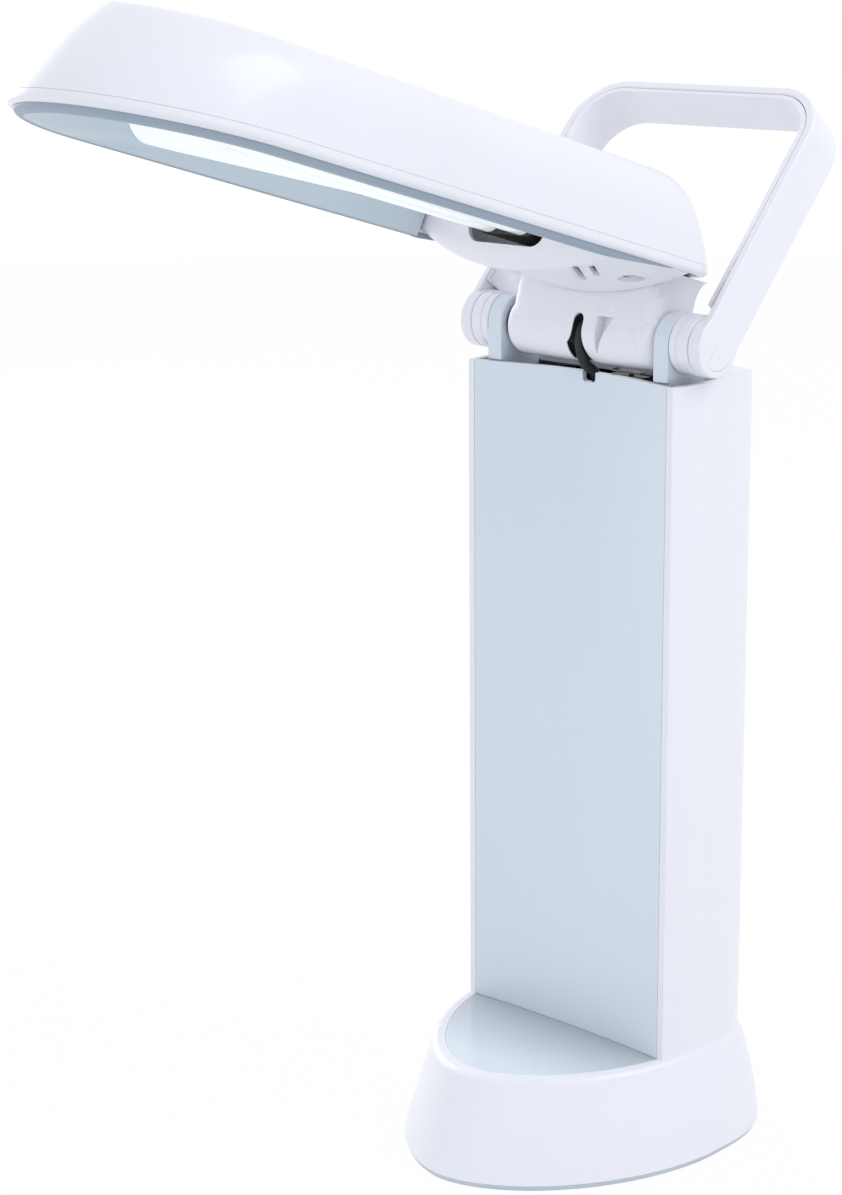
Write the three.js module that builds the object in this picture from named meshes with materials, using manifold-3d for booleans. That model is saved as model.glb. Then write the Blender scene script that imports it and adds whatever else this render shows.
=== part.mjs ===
// Folding fluorescent task lamp with a carrying handle.
// Millimetres, +Z up. The origin is the centre of the base's underside, and the lamp faces -Y.
// The head and the handle turn about one hinge line, parallel to X, above the column.
import * as THREE from 'three';
import { mergeVertices } from 'three/addons/utils/BufferGeometryUtils.js';
import Module from 'manifold-3d';

const wasm = await Module();
wasm.setup();

// Clearances
const SEAM = 0.3;
const OVERRUN = 2;

// Base and column
const PAD_THICKNESS = 1;
const FOOT_HEIGHT = 2.5;
const SKIRT_HEIGHT = 39.4;
const PANEL_HEIGHT = 270.8;
const WALL = 3;
const BODY_HALF_WIDTH = 54;
const FRONT_REACH = 72.4;
const BACK_REACH = 44;
const PANEL_SETBACK = 13.5;
const FRONT_ROUNDNESS = 1.75;
const BACK_ROUNDNESS = 6.5;
const SKIRT_BACK_ROUNDNESS = 3.4;
const FLARE_SIDE = 13.5;
const FLARE_FRONT = 16.6;
const FLARE_BACK = 11.5;
const SHOULDER_SIDE = 1.2;
const SHOULDER_FRONT = 3;
const SHOULDER_BACK = 0.8;
const SHOULDER_ROUNDING = 2.4;
const RIM_ROUNDING = 1.2;
const DECK_THICKNESS = 2.5;
const DECK_START = 28.5;

// Front panel and ledge
const PANEL_THICKNESS = 2.6;
const PANEL_DISH_TOP = 8.5;
const PANEL_DISH_BOTTOM = 2;
const LEDGE_THICKNESS = 2.4;
const NOTCH_X = 5.5;
const NOTCH_WIDTH = 6.6;
const NOTCH_DEPTH = 4;

// Hinge line, ears, barrel and pivots
const AXIS_ABOVE_PANEL = 14.3;
const AXIS_BEHIND_PANEL = 15.95;
const EAR_RADIUS = 11.5;
const EAR_THICKNESS = 7;
const BRACKET_DROP = 8;
const BRACKET_THICKNESS = 3;
const WASHER_THICKNESS = 0.8;
const WASHER_RADIUS = 8.5;
const BARREL_RADIUS = 12;
const BARREL_ROUNDING = 5;
const NECK_ROUNDING = 8;
const PIN_RADIUS = 3;
const PIN_HEAD_RADIUS = 5.6;
const PIN_HEAD_HEIGHT = 2;
const PIN_DEPTH = 9;
const HUB_RADIUS = 11.6;
const HINGE_OVERHANG = 7;
const COLLAR_LENGTH = 9.5;

// Lead slot and switch groove of the barrel
const LEAD_DIAMETER = 4;
const LEAD_X = 1;
const SLOT_WIDTH = 5;
const SLOT_TOP = 5.6;
const SLOT_FLARE_LEFT = 6;
const SLOT_FLARE_RIGHT = 5.4;
const GROOVE_LEFT = 10.2;
const GROOVE_RIGHT = 18.2;
const GROOVE_TIP_X = 10.4;
const GROOVE_TOP = 5.2;
const GROOVE_TIP_DROP = 8.9;
const GROOVE_DEPTH = 3.6;

// Head
const HEAD_TILT = 16;
const RIM_ABOVE_AXIS = 25;
const HEAD_CLEARANCE = 1;
const HEAD_REACH = 283;
const HEAD_REAR = 5;
const HEAD_HEIGHT = 36.3;
const HEAD_WALL = 2.4;
const NOSE_LENGTH = 57;
const NOSE_SETBACK = 19.8;
const NOSE_LEAN = 1.75;
const NOSE_ROUNDNESS = 2;
const TAIL_LENGTH = 29;
const TAIL_SETBACK = 25.3;
const TAIL_LEAN = 1.27;
const TAIL_ROUNDNESS = 5;
const SIDE_ROUNDNESS = 5.15;
const BEZEL_HEIGHT = 4;
const BEZEL_THICKNESS = 3.5;
const BEZEL_ROUNDING = 2.4;
const REFLECTOR_MARGIN = 10.4;
const REFLECTOR_SETBACK = 40;
const REFLECTOR_NOSE = 56;
const REFLECTOR_SKIN = 1.4;
const REFLECTOR_NOSE_SHARE = 0.7;
const REFLECTOR_ROUNDNESS = 3;
const REFLECTOR_EDGE = 0.3;
const REFLECTOR_RISE = 7.6;
const REFLECTOR_TOP = 29;
const REFLECTOR_POST_RADIUS = 3;
const REFLECTOR_POST_REAR = 104;
const REFLECTOR_POST_SETBACK = 31;

// Lamp tube, base, socket and cover
const TUBE_RADIUS = 6;
const TUBE_SPACING = 16;
const TUBE_LEVEL = 7.5;
const TUBE_SETBACK = 36;
const TUBE_BRIDGE_SETBACK = 9;
const TUBE_BRIDGE_RADIUS = 4;
const LAMP_BASE_FRONT = 62;
const LAMP_BASE_LENGTH = 33;
const LAMP_BASE_WIDTH = 32;
const LAMP_BASE_HEIGHT = 13;
const SOCKET_LENGTH = 17;
const SOCKET_WIDTH = 34;
const SOCKET_HEIGHT = 13;
const COVER_FRONT = 62;
const COVER_BOW = 6;
const COVER_DROP = 11.1;
const COVER_MARGIN = 4.4;
const COVER_TOP = 14;
const COVER_SKIN = 2;
const COVER_ROUNDING = 6.5;
const WINDOW_WIDTH = 38;
const WINDOW_SILL = 2.4;
const WINDOW_ROUNDING = 6;
const CLIP_SETBACK = 31;
const CLIP_LENGTH = 8;
const CLIP_SKIN = 1.4;

// Neck, its flange inside the head, and the screws through the cover
const FLARE_START = 15;
const FLARE_SPREAD = 4.5;
const NECK_REAR_ROUNDING = 1.6;
const FLANGE_GAP = 1;
const FLANGE_THICKNESS = 3;
const FLANGE_OVERHANG = 2.5;
const FLANGE_REACH = 28.4;
const FLANGE_REAR = 4;
const TAB_CLEARANCE = 4;
const POST_RADIUS = 6.8;
const POST_WALL = 1.6;
const NECK_SCREW_MARGIN = 3;
const NECK_SCREW_ALONG = 25.5;
const NECK_SCREW_RADIUS = 3.2;

// Slots behind the chin where its snap hooks sit
const HOOK_WIDTH = 2.2;
const HOOK_LENGTH = 21;
const HOOK_SHORT_SHARE = 0.7;
const HOOK_TURN = 28;
const HOOK_X = 25.6;
const HOOK_ALONG = 45;
const HOOK_PITCH = 6;
const HOOK_STAGGER = 1;

// Handle
const HANDLE_LEAN = 41.4;
const HANDLE_REACH = 113;
const STRAP_WIDTH = 21;
const STRAP_OUTER = 3.2;
const STRAP_INNER = 2.1;
const STRAP_SEAM = 0.3;
const HANDLE_CORNER = 22;
const STRAP_BEVEL = 0.7;
const CAP_RADIUS = 9;
const CAP_THICKNESS = 1.4;
const CAP_CHORD = 2;

// Pieces inside the column
const SCREW_FRONT_MARGIN = 14;
const SCREW_FRONT_SETBACK = 21.65;
const SCREW_REAR_MARGIN = 5;
const SCREW_REAR_SETBACK = 16.75;
const BOSS_RADIUS = 5;
const SCREW_HEAD_RADIUS = 3.4;
const SCREW_HEAD_HEIGHT = 1.6;
const SCREW_SHANK_RADIUS = 1.7;
const SCREW_LENGTH = 11;
const WEIGHT_MARGIN = 2;
const WEIGHT_DEPTH = 62;
const WEIGHT_HEIGHT = 9;
const BALLAST_SETBACK = 27.75;
const CORE_WIDTH = 66;
const CORE_DEPTH = 30;
const CORE_HEIGHT = 42;
const COIL_WIDTH = 34;
const COIL_DEPTH = 46;
const COIL_HEIGHT = 26;
const GLAND_RADIUS = 6.5;
const GLAND_FLANGE = 2;
const GLAND_HEIGHT = 17;
const GLAND_BORE = 2.6;
const SWITCH_LENGTH = 15;
const SWITCH_DEPTH = 6.4;
const SWITCH_PIVOT_X = 24;
const LEVER_THICKNESS = 0.5;
const LEVER_WIDTH = 4;
const LEVER_GAP = 0.9;
const LEVER_BUMP = 0.5;
const LEVER_TIP_X = 10.8;
const PLUNGER_RADIUS = 1;
const PLUNGER_LIFT = 1;

// Lead from the column to the head: the share of the way from notch to slot,
// and its places behind the panel's back and above the panel's top in lead diameters
const LEAD_ROUTE_SHARES = [
  [0, 0.75, -7.5], [0, 0.75, -4], [0, 0.8, -1.75], [0.045, 0.25, -0.2],
  [0.31, -0.65, 0.55], [0.73, -1.225, 1.5], [1, -1.15, 2.75], [1, -0.65, 4.25],
];

// Counts of steps
const PLAN_STEPS = 48;
const PANEL_STEPS = 14;
const ROUND_STEPS = 32;
const PIN_STEPS = 20;
const SCREW_STEPS = 12;
const ROUNDING_STEPS = 3;

// Where things stand
const SKIRT_BOTTOM_Z = PAD_THICKNESS + FOOT_HEIGHT;
const LEDGE_Z = SKIRT_BOTTOM_Z + SKIRT_HEIGHT;
const PANEL_TOP_Z = LEDGE_Z + PANEL_HEIGHT;
const AXIS_Z = PANEL_TOP_Z + AXIS_ABOVE_PANEL;
const PLAN_CENTRE_Y = (FRONT_REACH + FLARE_FRONT - BACK_REACH - FLARE_BACK) / 2;
const PANEL_Y = PLAN_CENTRE_Y - PANEL_SETBACK;
const AXIS_Y = PANEL_Y + AXIS_BEHIND_PANEL;
const STRAP_THICKNESS = STRAP_OUTER + STRAP_SEAM + STRAP_INNER;
const HINGE_HALF_WIDTH = BODY_HALF_WIDTH + HINGE_OVERHANG;
const HUB_INNER_X = HINGE_HALF_WIDTH - STRAP_THICKNESS;
const EAR_OUTER_X = HUB_INNER_X - COLLAR_LENGTH;
const EAR_INNER_X = EAR_OUTER_X - EAR_THICKNESS;
const BARREL_HALF = EAR_INNER_X - WASHER_THICKNESS - 2 * SEAM;
const NECK_SCREW_X = BARREL_HALF - NECK_SCREW_MARGIN;
const FLANGE_HALF = BARREL_HALF + FLANGE_OVERHANG;
const HEAD_HALF_WIDTH = HUB_INNER_X - HEAD_CLEARANCE;
const REFLECTOR_HALF_WIDTH = HEAD_HALF_WIDTH - REFLECTOR_MARGIN;
const REFLECTOR_REACH = HEAD_REACH - REFLECTOR_SETBACK;
const REFLECTOR_POST_FRONT = REFLECTOR_REACH - REFLECTOR_POST_SETBACK;
const COVER_HALF_WIDTH = HEAD_HALF_WIDTH - COVER_MARGIN;
const TUBE_TIP = REFLECTOR_REACH - TUBE_SETBACK;
const CLIP_ALONG = TUBE_TIP - CLIP_SETBACK;
const TUBE_UP = RIM_ABOVE_AXIS + TUBE_LEVEL;
const SCREW_FRONT_X = BODY_HALF_WIDTH - SCREW_FRONT_MARGIN;
const SCREW_FRONT_Y = PLAN_CENTRE_Y - FRONT_REACH + SCREW_FRONT_SETBACK;
const SCREW_REAR_X = BODY_HALF_WIDTH - SCREW_REAR_MARGIN;
const SCREW_REAR_Y = PLAN_CENTRE_Y + BACK_REACH - SCREW_REAR_SETBACK;
const WEIGHT_HALF_WIDTH = SCREW_FRONT_X - WEIGHT_MARGIN;
const BALLAST_Y = PLAN_CENTRE_Y + BACK_REACH - BALLAST_SETBACK;

// Geometry helpers

function signedPower(value, power) {
  return Math.sign(value) * Math.abs(value) ** power;
}

function toSolid(geometry) {
  const bare = geometry.clone();
  bare.deleteAttribute('normal');
  bare.deleteAttribute('uv');
  const merged = mergeVertices(bare, 1e-4);
  const vertProperties = new Float32Array(merged.attributes.position.array);
  const triVerts = new Uint32Array(merged.index.array);
  return new wasm.Manifold(new wasm.Mesh({ numProp: 3, vertProperties, triVerts }));
}

function toGeometry(solid) {
  const mesh = solid.getMesh();
  const geometry = new THREE.BufferGeometry();
  geometry.setAttribute('position', new THREE.BufferAttribute(new Float32Array(mesh.vertProperties), 3));
  geometry.setIndex(new THREE.BufferAttribute(new Uint32Array(mesh.triVerts), 1));
  geometry.computeVertexNormals();
  return geometry;
}

function join(first, ...others) {
  return toGeometry(others.reduce((sum, other) => sum.add(toSolid(other)), toSolid(first)));
}

function cut(body, ...tools) {
  return toGeometry(tools.reduce((rest, tool) => rest.subtract(toSolid(tool)), toSolid(body)));
}

function common(first, second) {
  return toGeometry(toSolid(first).intersect(toSolid(second)));
}

// Turns the faces outwards, judged by the sign of the enclosed volume.
function facingOut(geometry) {
  const position = geometry.attributes.position;
  const index = geometry.index.array;
  const [a, b, c] = [new THREE.Vector3(), new THREE.Vector3(), new THREE.Vector3()];
  let volume = 0;
  for (let i = 0; i < index.length; i += 3) {
    a.fromBufferAttribute(position, index[i]);
    b.fromBufferAttribute(position, index[i + 1]);
    c.fromBufferAttribute(position, index[i + 2]);
    volume += a.dot(b.cross(c));
  }
  if (volume < 0) {
    for (let i = 0; i < index.length; i += 3) {
      [index[i + 1], index[i + 2]] = [index[i + 2], index[i + 1]];
    }
  }
  return geometry;
}

// A skin through rings of equal count, closed by a fan at each end or by joining the last ring to the first.
function loft(rings, closed = false) {
  const count = rings[0].length;
  const vertices = rings.flat();
  const faces = [];
  const spans = closed ? rings.length : rings.length - 1;
  for (let ring = 0; ring < spans; ring++) {
    const here = ring * count;
    const next = ((ring + 1) % rings.length) * count;
    for (let i = 0; i < count; i++) {
      const j = (i + 1) % count;
      faces.push(here + i, here + j, next + j, here + i, next + j, next + i);
    }
  }
  if (!closed) {
    for (const [start, flip] of [[0, true], [(rings.length - 1) * count, false]]) {
      const middle = new THREE.Vector3();
      for (let i = 0; i < count; i++) {
        middle.addScaledVector(vertices[start + i], 1 / count);
      }
      vertices.push(middle);
      for (let i = 0; i < count; i++) {
        const j = (i + 1) % count;
        faces.push(vertices.length - 1, start + (flip ? j : i), start + (flip ? i : j));
      }
    }
  }
  const geometry = new THREE.BufferGeometry().setFromPoints(vertices);
  geometry.setIndex(faces);
  return facingOut(geometry);
}

function box(x0, x1, y0, y1, z0, z1) {
  const geometry = new THREE.BoxGeometry(x1 - x0, y1 - y0, z1 - z0);
  return geometry.translate((x0 + x1) / 2, (y0 + y1) / 2, (z0 + z1) / 2);
}

// A round bar along X about the local origin.
function barX(radius, x0, x1, steps = ROUND_STEPS) {
  const geometry = new THREE.CylinderGeometry(radius, radius, x1 - x0, steps);
  return geometry.rotateZ(Math.PI / 2).translate((x0 + x1) / 2, 0, 0);
}

// A round bar along Z.
function barZ(radius, z0, z1, x = 0, y = 0, steps = PIN_STEPS) {
  const geometry = new THREE.CylinderGeometry(radius, radius, z1 - z0, steps);
  return geometry.rotateX(Math.PI / 2).translate(x, y, (z0 + z1) / 2);
}

// A shape drawn in X and Y, given a thickness along Z from 0.
function extruded(shape, depth, steps) {
  return new THREE.ExtrudeGeometry(shape, { depth, bevelEnabled: false, curveSegments: steps });
}

// A shape drawn in X and Z, given a thickness along Y from y0 to y1.
function slabY(shape, y0, y1, steps = 8) {
  const geometry = extruded(shape, y1 - y0, steps);
  return geometry.rotateX(Math.PI / 2).translate(0, y1, 0);
}

// A shape drawn in Y and Z, given a thickness along X from x0 to x1.
function slabX(shape, x0, x1, steps = 8) {
  const geometry = extruded(shape, x1 - x0, steps);
  return geometry.rotateZ(Math.PI / 2).rotateY(Math.PI / 2).translate(x0, 0, 0);
}

function roundedRect(halfX, y0, y1, radius) {
  const shape = new THREE.Shape();
  shape.moveTo(-halfX + radius, y0);
  shape.lineTo(halfX - radius, y0);
  shape.absarc(halfX - radius, y0 + radius, radius, -Math.PI / 2, 0);
  shape.lineTo(halfX, y1 - radius);
  shape.absarc(halfX - radius, y1 - radius, radius, 0, Math.PI / 2);
  shape.lineTo(-halfX + radius, y1);
  shape.absarc(-halfX + radius, y1 - radius, radius, Math.PI / 2, Math.PI);
  shape.lineTo(-halfX, y0 + radius);
  shape.absarc(-halfX + radius, y0 + radius, radius, Math.PI, 1.5 * Math.PI);
  return shape;
}

// Plan outline of the column and its flared skirt. The flare runs from 0 at the ledge to 1 at the bottom.
// The skirt's upper edge also stands out from the column by a shoulder.
function planRing(flare, inset, z, shoulder = 0) {
  const ring = [];
  const edge = shoulder * (1 - flare);
  const backRoundness = BACK_ROUNDNESS + (SKIRT_BACK_ROUNDNESS - BACK_ROUNDNESS) * flare;
  for (let step = 0; step < PLAN_STEPS; step++) {
    const turn = 2 * Math.PI * step / PLAN_STEPS;
    const front = Math.sin(turn) < 0;
    const power = 2 / (front ? FRONT_ROUNDNESS : backRoundness);
    const reach = front
      ? FRONT_REACH + flare * FLARE_FRONT + edge * SHOULDER_FRONT
      : BACK_REACH + flare * FLARE_BACK + edge * SHOULDER_BACK;
    const half = BODY_HALF_WIDTH + flare * FLARE_SIDE + edge * SHOULDER_SIDE;
    const x = (half - inset) * signedPower(Math.cos(turn), power);
    const y = PLAN_CENTRE_Y + (reach - inset) * signedPower(Math.sin(turn), power);
    ring.push(new THREE.Vector3(x, y, z));
  }
  return ring;
}

// Half the width of the column's inside at the plane of the front panel.
function insideHalfWidth() {
  const depth = PANEL_SETBACK / (FRONT_REACH - WALL);
  return (BODY_HALF_WIDTH - WALL) * (1 - depth ** FRONT_ROUNDNESS) ** (1 / FRONT_ROUNDNESS);
}

const PANEL_HALF = insideHalfWidth() - SEAM;

const SKIRT_SHARES = [1, 0.75, 0.5, 0.25];

function skirtRings(inset) {
  return SKIRT_SHARES.map((share) => planRing(share, inset, LEDGE_Z - share * SKIRT_HEIGHT, 1));
}

// One white moulding: flared skirt, side walls, back and a deck over the rear of the column.
function columnHousing() {
  const round = SHOULDER_ROUNDING;
  const start = round / SKIRT_HEIGHT;
  const outer = [...skirtRings(0), planRing(start, 0, LEDGE_Z - round, 1)];
  for (let step = 1; step <= ROUNDING_STEPS; step++) {
    const turn = Math.PI / 2 * step / ROUNDING_STEPS;
    outer.push(planRing(0, round * (1 - Math.cos(turn)), LEDGE_Z - round * (1 - Math.sin(turn)), 1));
  }
  const skirt = loft(outer);
  const columnStart = LEDGE_Z - 2 * round;
  const wide = BODY_HALF_WIDTH + OVERRUN;
  const column = cut(
    loft([planRing(0, 0, columnStart), planRing(0, 0, PANEL_TOP_Z)]),
    box(-wide, wide, PANEL_Y - FRONT_REACH, PANEL_Y, columnStart - OVERRUN, PANEL_TOP_Z + OVERRUN),
  );
  const inner = skirtRings(WALL);
  inner.unshift(planRing(1, WALL, SKIRT_BOTTOM_Z - OVERRUN));
  inner.push(planRing(0, WALL, LEDGE_Z + OVERRUN));
  const skirtHollow = loft(inner);
  const columnHollow = loft([planRing(0, WALL, LEDGE_Z), planRing(0, WALL, PANEL_TOP_Z - DECK_THICKNESS)]);
  const well = common(
    loft([planRing(0, WALL, LEDGE_Z), planRing(0, WALL, PANEL_TOP_Z + OVERRUN)]),
    box(-wide, wide, PANEL_Y - FRONT_REACH, PANEL_Y + DECK_START, LEDGE_Z, PANEL_TOP_Z + OVERRUN),
  );
  const body = join(skirt, column);
  const bosses = SCREW_PLACES.map(([x, y]) => common(body, barZ(BOSS_RADIUS,
    SKIRT_BOTTOM_Z + FOOT_HEIGHT + SEAM, LEDGE_Z - 2 * LEDGE_THICKNESS, x, y)));
  const holes = SCREW_PLACES.map(([x, y]) => barZ(SCREW_SHANK_RADIUS + SEAM,
    0, PAD_THICKNESS + SCREW_LENGTH + SEAM, x, y, SCREW_STEPS));
  const backY = backFaceY(GLAND_HEIGHT);
  const glandHole = barY(GLAND_RADIUS, backY - WALL - OVERRUN, backY + OVERRUN, GLAND_HEIGHT);
  const shell = cut(body, skirtHollow, columnHollow, well, glandHole);
  return cut(join(shell, ...bosses), ...holes);
}

// A round bar along Y at x = 0.
function barY(radius, y0, y1, z, steps = PIN_STEPS) {
  return new THREE.CylinderGeometry(radius, radius, y1 - y0, steps).translate(0, (y0 + y1) / 2, z);
}

// The Y of the skirt's outer back face at a height.
function backFaceY(z) {
  const flare = (LEDGE_Z - z) / SKIRT_HEIGHT;
  return PLAN_CENTRE_Y + BACK_REACH + flare * FLARE_BACK + (1 - flare) * SHOULDER_BACK;
}

function dishDepth(z) {
  return PANEL_DISH_BOTTOM + (PANEL_DISH_TOP - PANEL_DISH_BOTTOM) * (z - LEDGE_Z) / PANEL_HEIGHT;
}

// Grey panel, hollowed across so that the folded head nests in it, with a notch for the lead.
function frontPanel() {
  const ring = (z) => {
    const front = [];
    const back = [];
    for (let step = 0; step <= PANEL_STEPS; step++) {
      const share = 2 * step / PANEL_STEPS - 1;
      const y = PANEL_Y + dishDepth(z) * (1 - share * share);
      front.push(new THREE.Vector3(share * PANEL_HALF, y, z));
      back.unshift(new THREE.Vector3(share * PANEL_HALF, y + PANEL_THICKNESS, z));
    }
    return [...front, ...back];
  };
  const shape = new THREE.Shape();
  const half = NOTCH_WIDTH / 2;
  shape.moveTo(NOTCH_X - half, PANEL_TOP_Z + OVERRUN);
  shape.lineTo(NOTCH_X - half, PANEL_TOP_Z - NOTCH_DEPTH);
  shape.lineTo(NOTCH_X + half, PANEL_TOP_Z - NOTCH_DEPTH);
  shape.lineTo(NOTCH_X + half, PANEL_TOP_Z + OVERRUN);
  const notch = slabY(shape, PANEL_Y, PANEL_Y + PANEL_DISH_TOP + PANEL_THICKNESS + OVERRUN);
  return cut(loftStrip([ring(LEDGE_Z), ring(PANEL_TOP_Z)]), notch);
}

// Like loft, for rings that bend round a thin strip: the second half of a ring runs back beside the first.
function loftStrip(rings) {
  const count = rings[0].length;
  const vertices = rings.flat();
  const faces = [];
  for (let ring = 0; ring < rings.length - 1; ring++) {
    for (let i = 0; i < count; i++) {
      const j = (i + 1) % count;
      const here = ring * count;
      faces.push(here + i, here + j, here + count + j, here + i, here + count + j, here + count + i);
    }
  }
  const last = (rings.length - 1) * count;
  for (let i = 0; i < count / 2 - 1; i++) {
    const far = count - 1 - i;
    faces.push(i, far, far - 1, i, far - 1, i + 1);
    faces.push(last + i, last + far - 1, last + far, last + i, last + i + 1, last + far - 1);
  }
  const geometry = new THREE.BufferGeometry().setFromPoints(vertices);
  geometry.setIndex(faces);
  return facingOut(geometry);
}

// Half-moon ledge in front of the panel, set into the skirt's rim.
function ledgeTray() {
  const tray = loft([
    planRing(0, WALL + SEAM, LEDGE_Z - LEDGE_THICKNESS),
    planRing(0, WALL + SEAM, LEDGE_Z - SEAM),
  ]);
  const behind = PANEL_Y + PANEL_DISH_BOTTOM + PANEL_THICKNESS;
  const rest = box(-BODY_HALF_WIDTH, BODY_HALF_WIDTH, behind, behind + FRONT_REACH,
    LEDGE_Z - SKIRT_HEIGHT, LEDGE_Z + OVERRUN);
  return cut(tray, rest);
}

// Places of the base screws in plan.
const SCREW_PLACES = [
  [-SCREW_FRONT_X, SCREW_FRONT_Y], [SCREW_FRONT_X, SCREW_FRONT_Y],
  [-SCREW_REAR_X, SCREW_REAR_Y], [SCREW_REAR_X, SCREW_REAR_Y],
];

function basePad() {
  const top = PAD_THICKNESS + OVERRUN;
  const holes = SCREW_PLACES.map(([x, y]) => barZ(SCREW_HEAD_RADIUS + SEAM, -OVERRUN, top, x, y));
  return cut(loft([planRing(1, 2 * WALL, 0), planRing(1, 2 * WALL, PAD_THICKNESS)]), ...holes);
}

// Grey plate under the skirt, with a spigot that fits inside it and counterbored screw holes.
function basePlate() {
  const spigotTop = SKIRT_BOTTOM_Z + FOOT_HEIGHT;
  const draw = RIM_ROUNDING / 2;
  const plate = loft([planRing(1, 2 * draw, PAD_THICKNESS), planRing(1, draw, SKIRT_BOTTOM_Z)]);
  const spigot = loft([planRing(1, 2 * WALL, PAD_THICKNESS), planRing(1, 2 * WALL, spigotTop)]);
  const holes = SCREW_PLACES.flatMap(([x, y]) => [
    barZ(SCREW_SHANK_RADIUS + SEAM, -OVERRUN, spigotTop + OVERRUN, x, y),
    barZ(SCREW_HEAD_RADIUS + SEAM, -OVERRUN, PAD_THICKNESS + SCREW_HEAD_HEIGHT + SEAM, x, y),
  ]);
  return cut(join(plate, spigot), ...holes);
}

function baseScrew(x, y) {
  const head = barZ(SCREW_HEAD_RADIUS, PAD_THICKNESS, PAD_THICKNESS + SCREW_HEAD_HEIGHT, x, y);
  const shank = barZ(SCREW_SHANK_RADIUS, PAD_THICKNESS, PAD_THICKNESS + SCREW_LENGTH, x, y);
  return join(head, shank);
}

// Steel slab on the base plate that keeps the lamp upright.
function weightPlate() {
  const shape = roundedRect(WEIGHT_HALF_WIDTH, -WEIGHT_DEPTH / 2, WEIGHT_DEPTH / 2, WEIGHT_HEIGHT);
  return extruded(shape, WEIGHT_HEIGHT, 4).translate(0, 0, SKIRT_BOTTOM_Z + FOOT_HEIGHT);
}

// Choke: a block of laminations with its winding in the middle.
const CORE_BOTTOM_Z = SKIRT_BOTTOM_Z + FOOT_HEIGHT + WEIGHT_HEIGHT;

function ballastCore() {
  const halfDepth = CORE_DEPTH / 2;
  const core = box(-CORE_WIDTH / 2, CORE_WIDTH / 2, BALLAST_Y - halfDepth, BALLAST_Y + halfDepth,
    CORE_BOTTOM_Z, CORE_BOTTOM_Z + CORE_HEIGHT);
  const z0 = CORE_BOTTOM_Z + (CORE_HEIGHT - COIL_HEIGHT) / 2 - SEAM;
  const half = COIL_WIDTH / 2 + SEAM;
  const z1 = z0 + COIL_HEIGHT + 2 * SEAM;
  const opening = box(-half, half, BALLAST_Y - CORE_DEPTH, BALLAST_Y + CORE_DEPTH, z0, z1);
  return cut(core, opening);
}

function ballastCoil() {
  const halfDepth = COIL_DEPTH / 2;
  const z0 = CORE_BOTTOM_Z + (CORE_HEIGHT - COIL_HEIGHT) / 2;
  const shape = roundedRect(COIL_WIDTH / 2, -halfDepth, halfDepth, COIL_WIDTH / 4);
  return extruded(shape, COIL_HEIGHT, 4).translate(0, BALLAST_Y, z0);
}

// Bushing in the back of the skirt where the mains lead enters.
function cordGland() {
  const face = backFaceY(GLAND_HEIGHT);
  const seat = face - 2 * WALL;
  const body = barY(GLAND_RADIUS - SEAM, seat, face + GLAND_FLANGE, GLAND_HEIGHT);
  const collar = barY(GLAND_RADIUS + GLAND_FLANGE, seat - GLAND_FLANGE, seat, GLAND_HEIGHT);
  const bore = barY(GLAND_BORE, seat - 2 * GLAND_FLANGE, face + 2 * GLAND_FLANGE, GLAND_HEIGHT);
  return cut(join(body, collar), bore);
}

// Grey bracket across the top of the column: a floor with two round-topped ears that carry the hinge.
function hingeBracket() {
  const floorTop = PANEL_TOP_Z - BRACKET_DROP;
  const floorBottom = floorTop - BRACKET_THICKNESS;
  const behindPanel = (x, z) => PANEL_Y + dishDepth(z) * (1 - (x / PANEL_HALF) ** 2) + PANEL_THICKNESS + SEAM;
  const plan = new THREE.Shape();
  for (let step = 0; step <= PANEL_STEPS; step++) {
    const x = (2 * step / PANEL_STEPS - 1) * PANEL_HALF;
    plan[step === 0 ? 'moveTo' : 'lineTo'](x, behindPanel(x, PANEL_TOP_Z));
  }
  plan.lineTo(PANEL_HALF + WALL, PLAN_CENTRE_Y);
  plan.lineTo(PANEL_HALF + WALL, PLAN_CENTRE_Y + BACK_REACH);
  plan.lineTo(-PANEL_HALF - WALL, PLAN_CENTRE_Y + BACK_REACH);
  plan.lineTo(-PANEL_HALF - WALL, PLAN_CENTRE_Y);
  const blank = new THREE.ExtrudeGeometry(plan, { depth: BRACKET_THICKNESS, bevelEnabled: false });
  const floor = common(blank.translate(0, 0, floorBottom),
    loft([planRing(0, WALL + SEAM, floorBottom - OVERRUN), planRing(0, WALL + SEAM, PANEL_TOP_Z)]));
  const ear = new THREE.Shape();
  const footY = behindPanel(EAR_INNER_X, PANEL_TOP_Z);
  ear.moveTo(footY, floorBottom);
  ear.lineTo(AXIS_Y + EAR_RADIUS, floorBottom);
  ear.lineTo(AXIS_Y + EAR_RADIUS, AXIS_Z);
  ear.absarc(AXIS_Y, AXIS_Z, EAR_RADIUS, 0, Math.PI);
  ear.lineTo(AXIS_Y - EAR_RADIUS, PANEL_TOP_Z + SEAM);
  ear.lineTo(footY, PANEL_TOP_Z + SEAM);
  const right = slabX(ear, EAR_INNER_X, EAR_OUTER_X, ROUND_STEPS / 2);
  const left = slabX(ear, -EAR_OUTER_X, -EAR_INNER_X, ROUND_STEPS / 2);
  const slotEnd = PANEL_Y + PANEL_DISH_TOP + PANEL_THICKNESS + 2 * LEAD_DIAMETER;
  const leadSlot = box(NOTCH_X - LEAD_DIAMETER, NOTCH_X + LEAD_DIAMETER, PANEL_Y, slotEnd,
    floorBottom - OVERRUN, floorTop + OVERRUN);
  const pinHole = barX(PIN_RADIUS + SEAM, -EAR_OUTER_X - OVERRUN, EAR_OUTER_X + OVERRUN, PIN_STEPS);
  return cut(join(floor, right, left), leadSlot, pinHole.translate(0, AXIS_Y, AXIS_Z));
}

// Hinge pieces, about the hinge line. The side is -1 on the left and +1 on the right.

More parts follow.
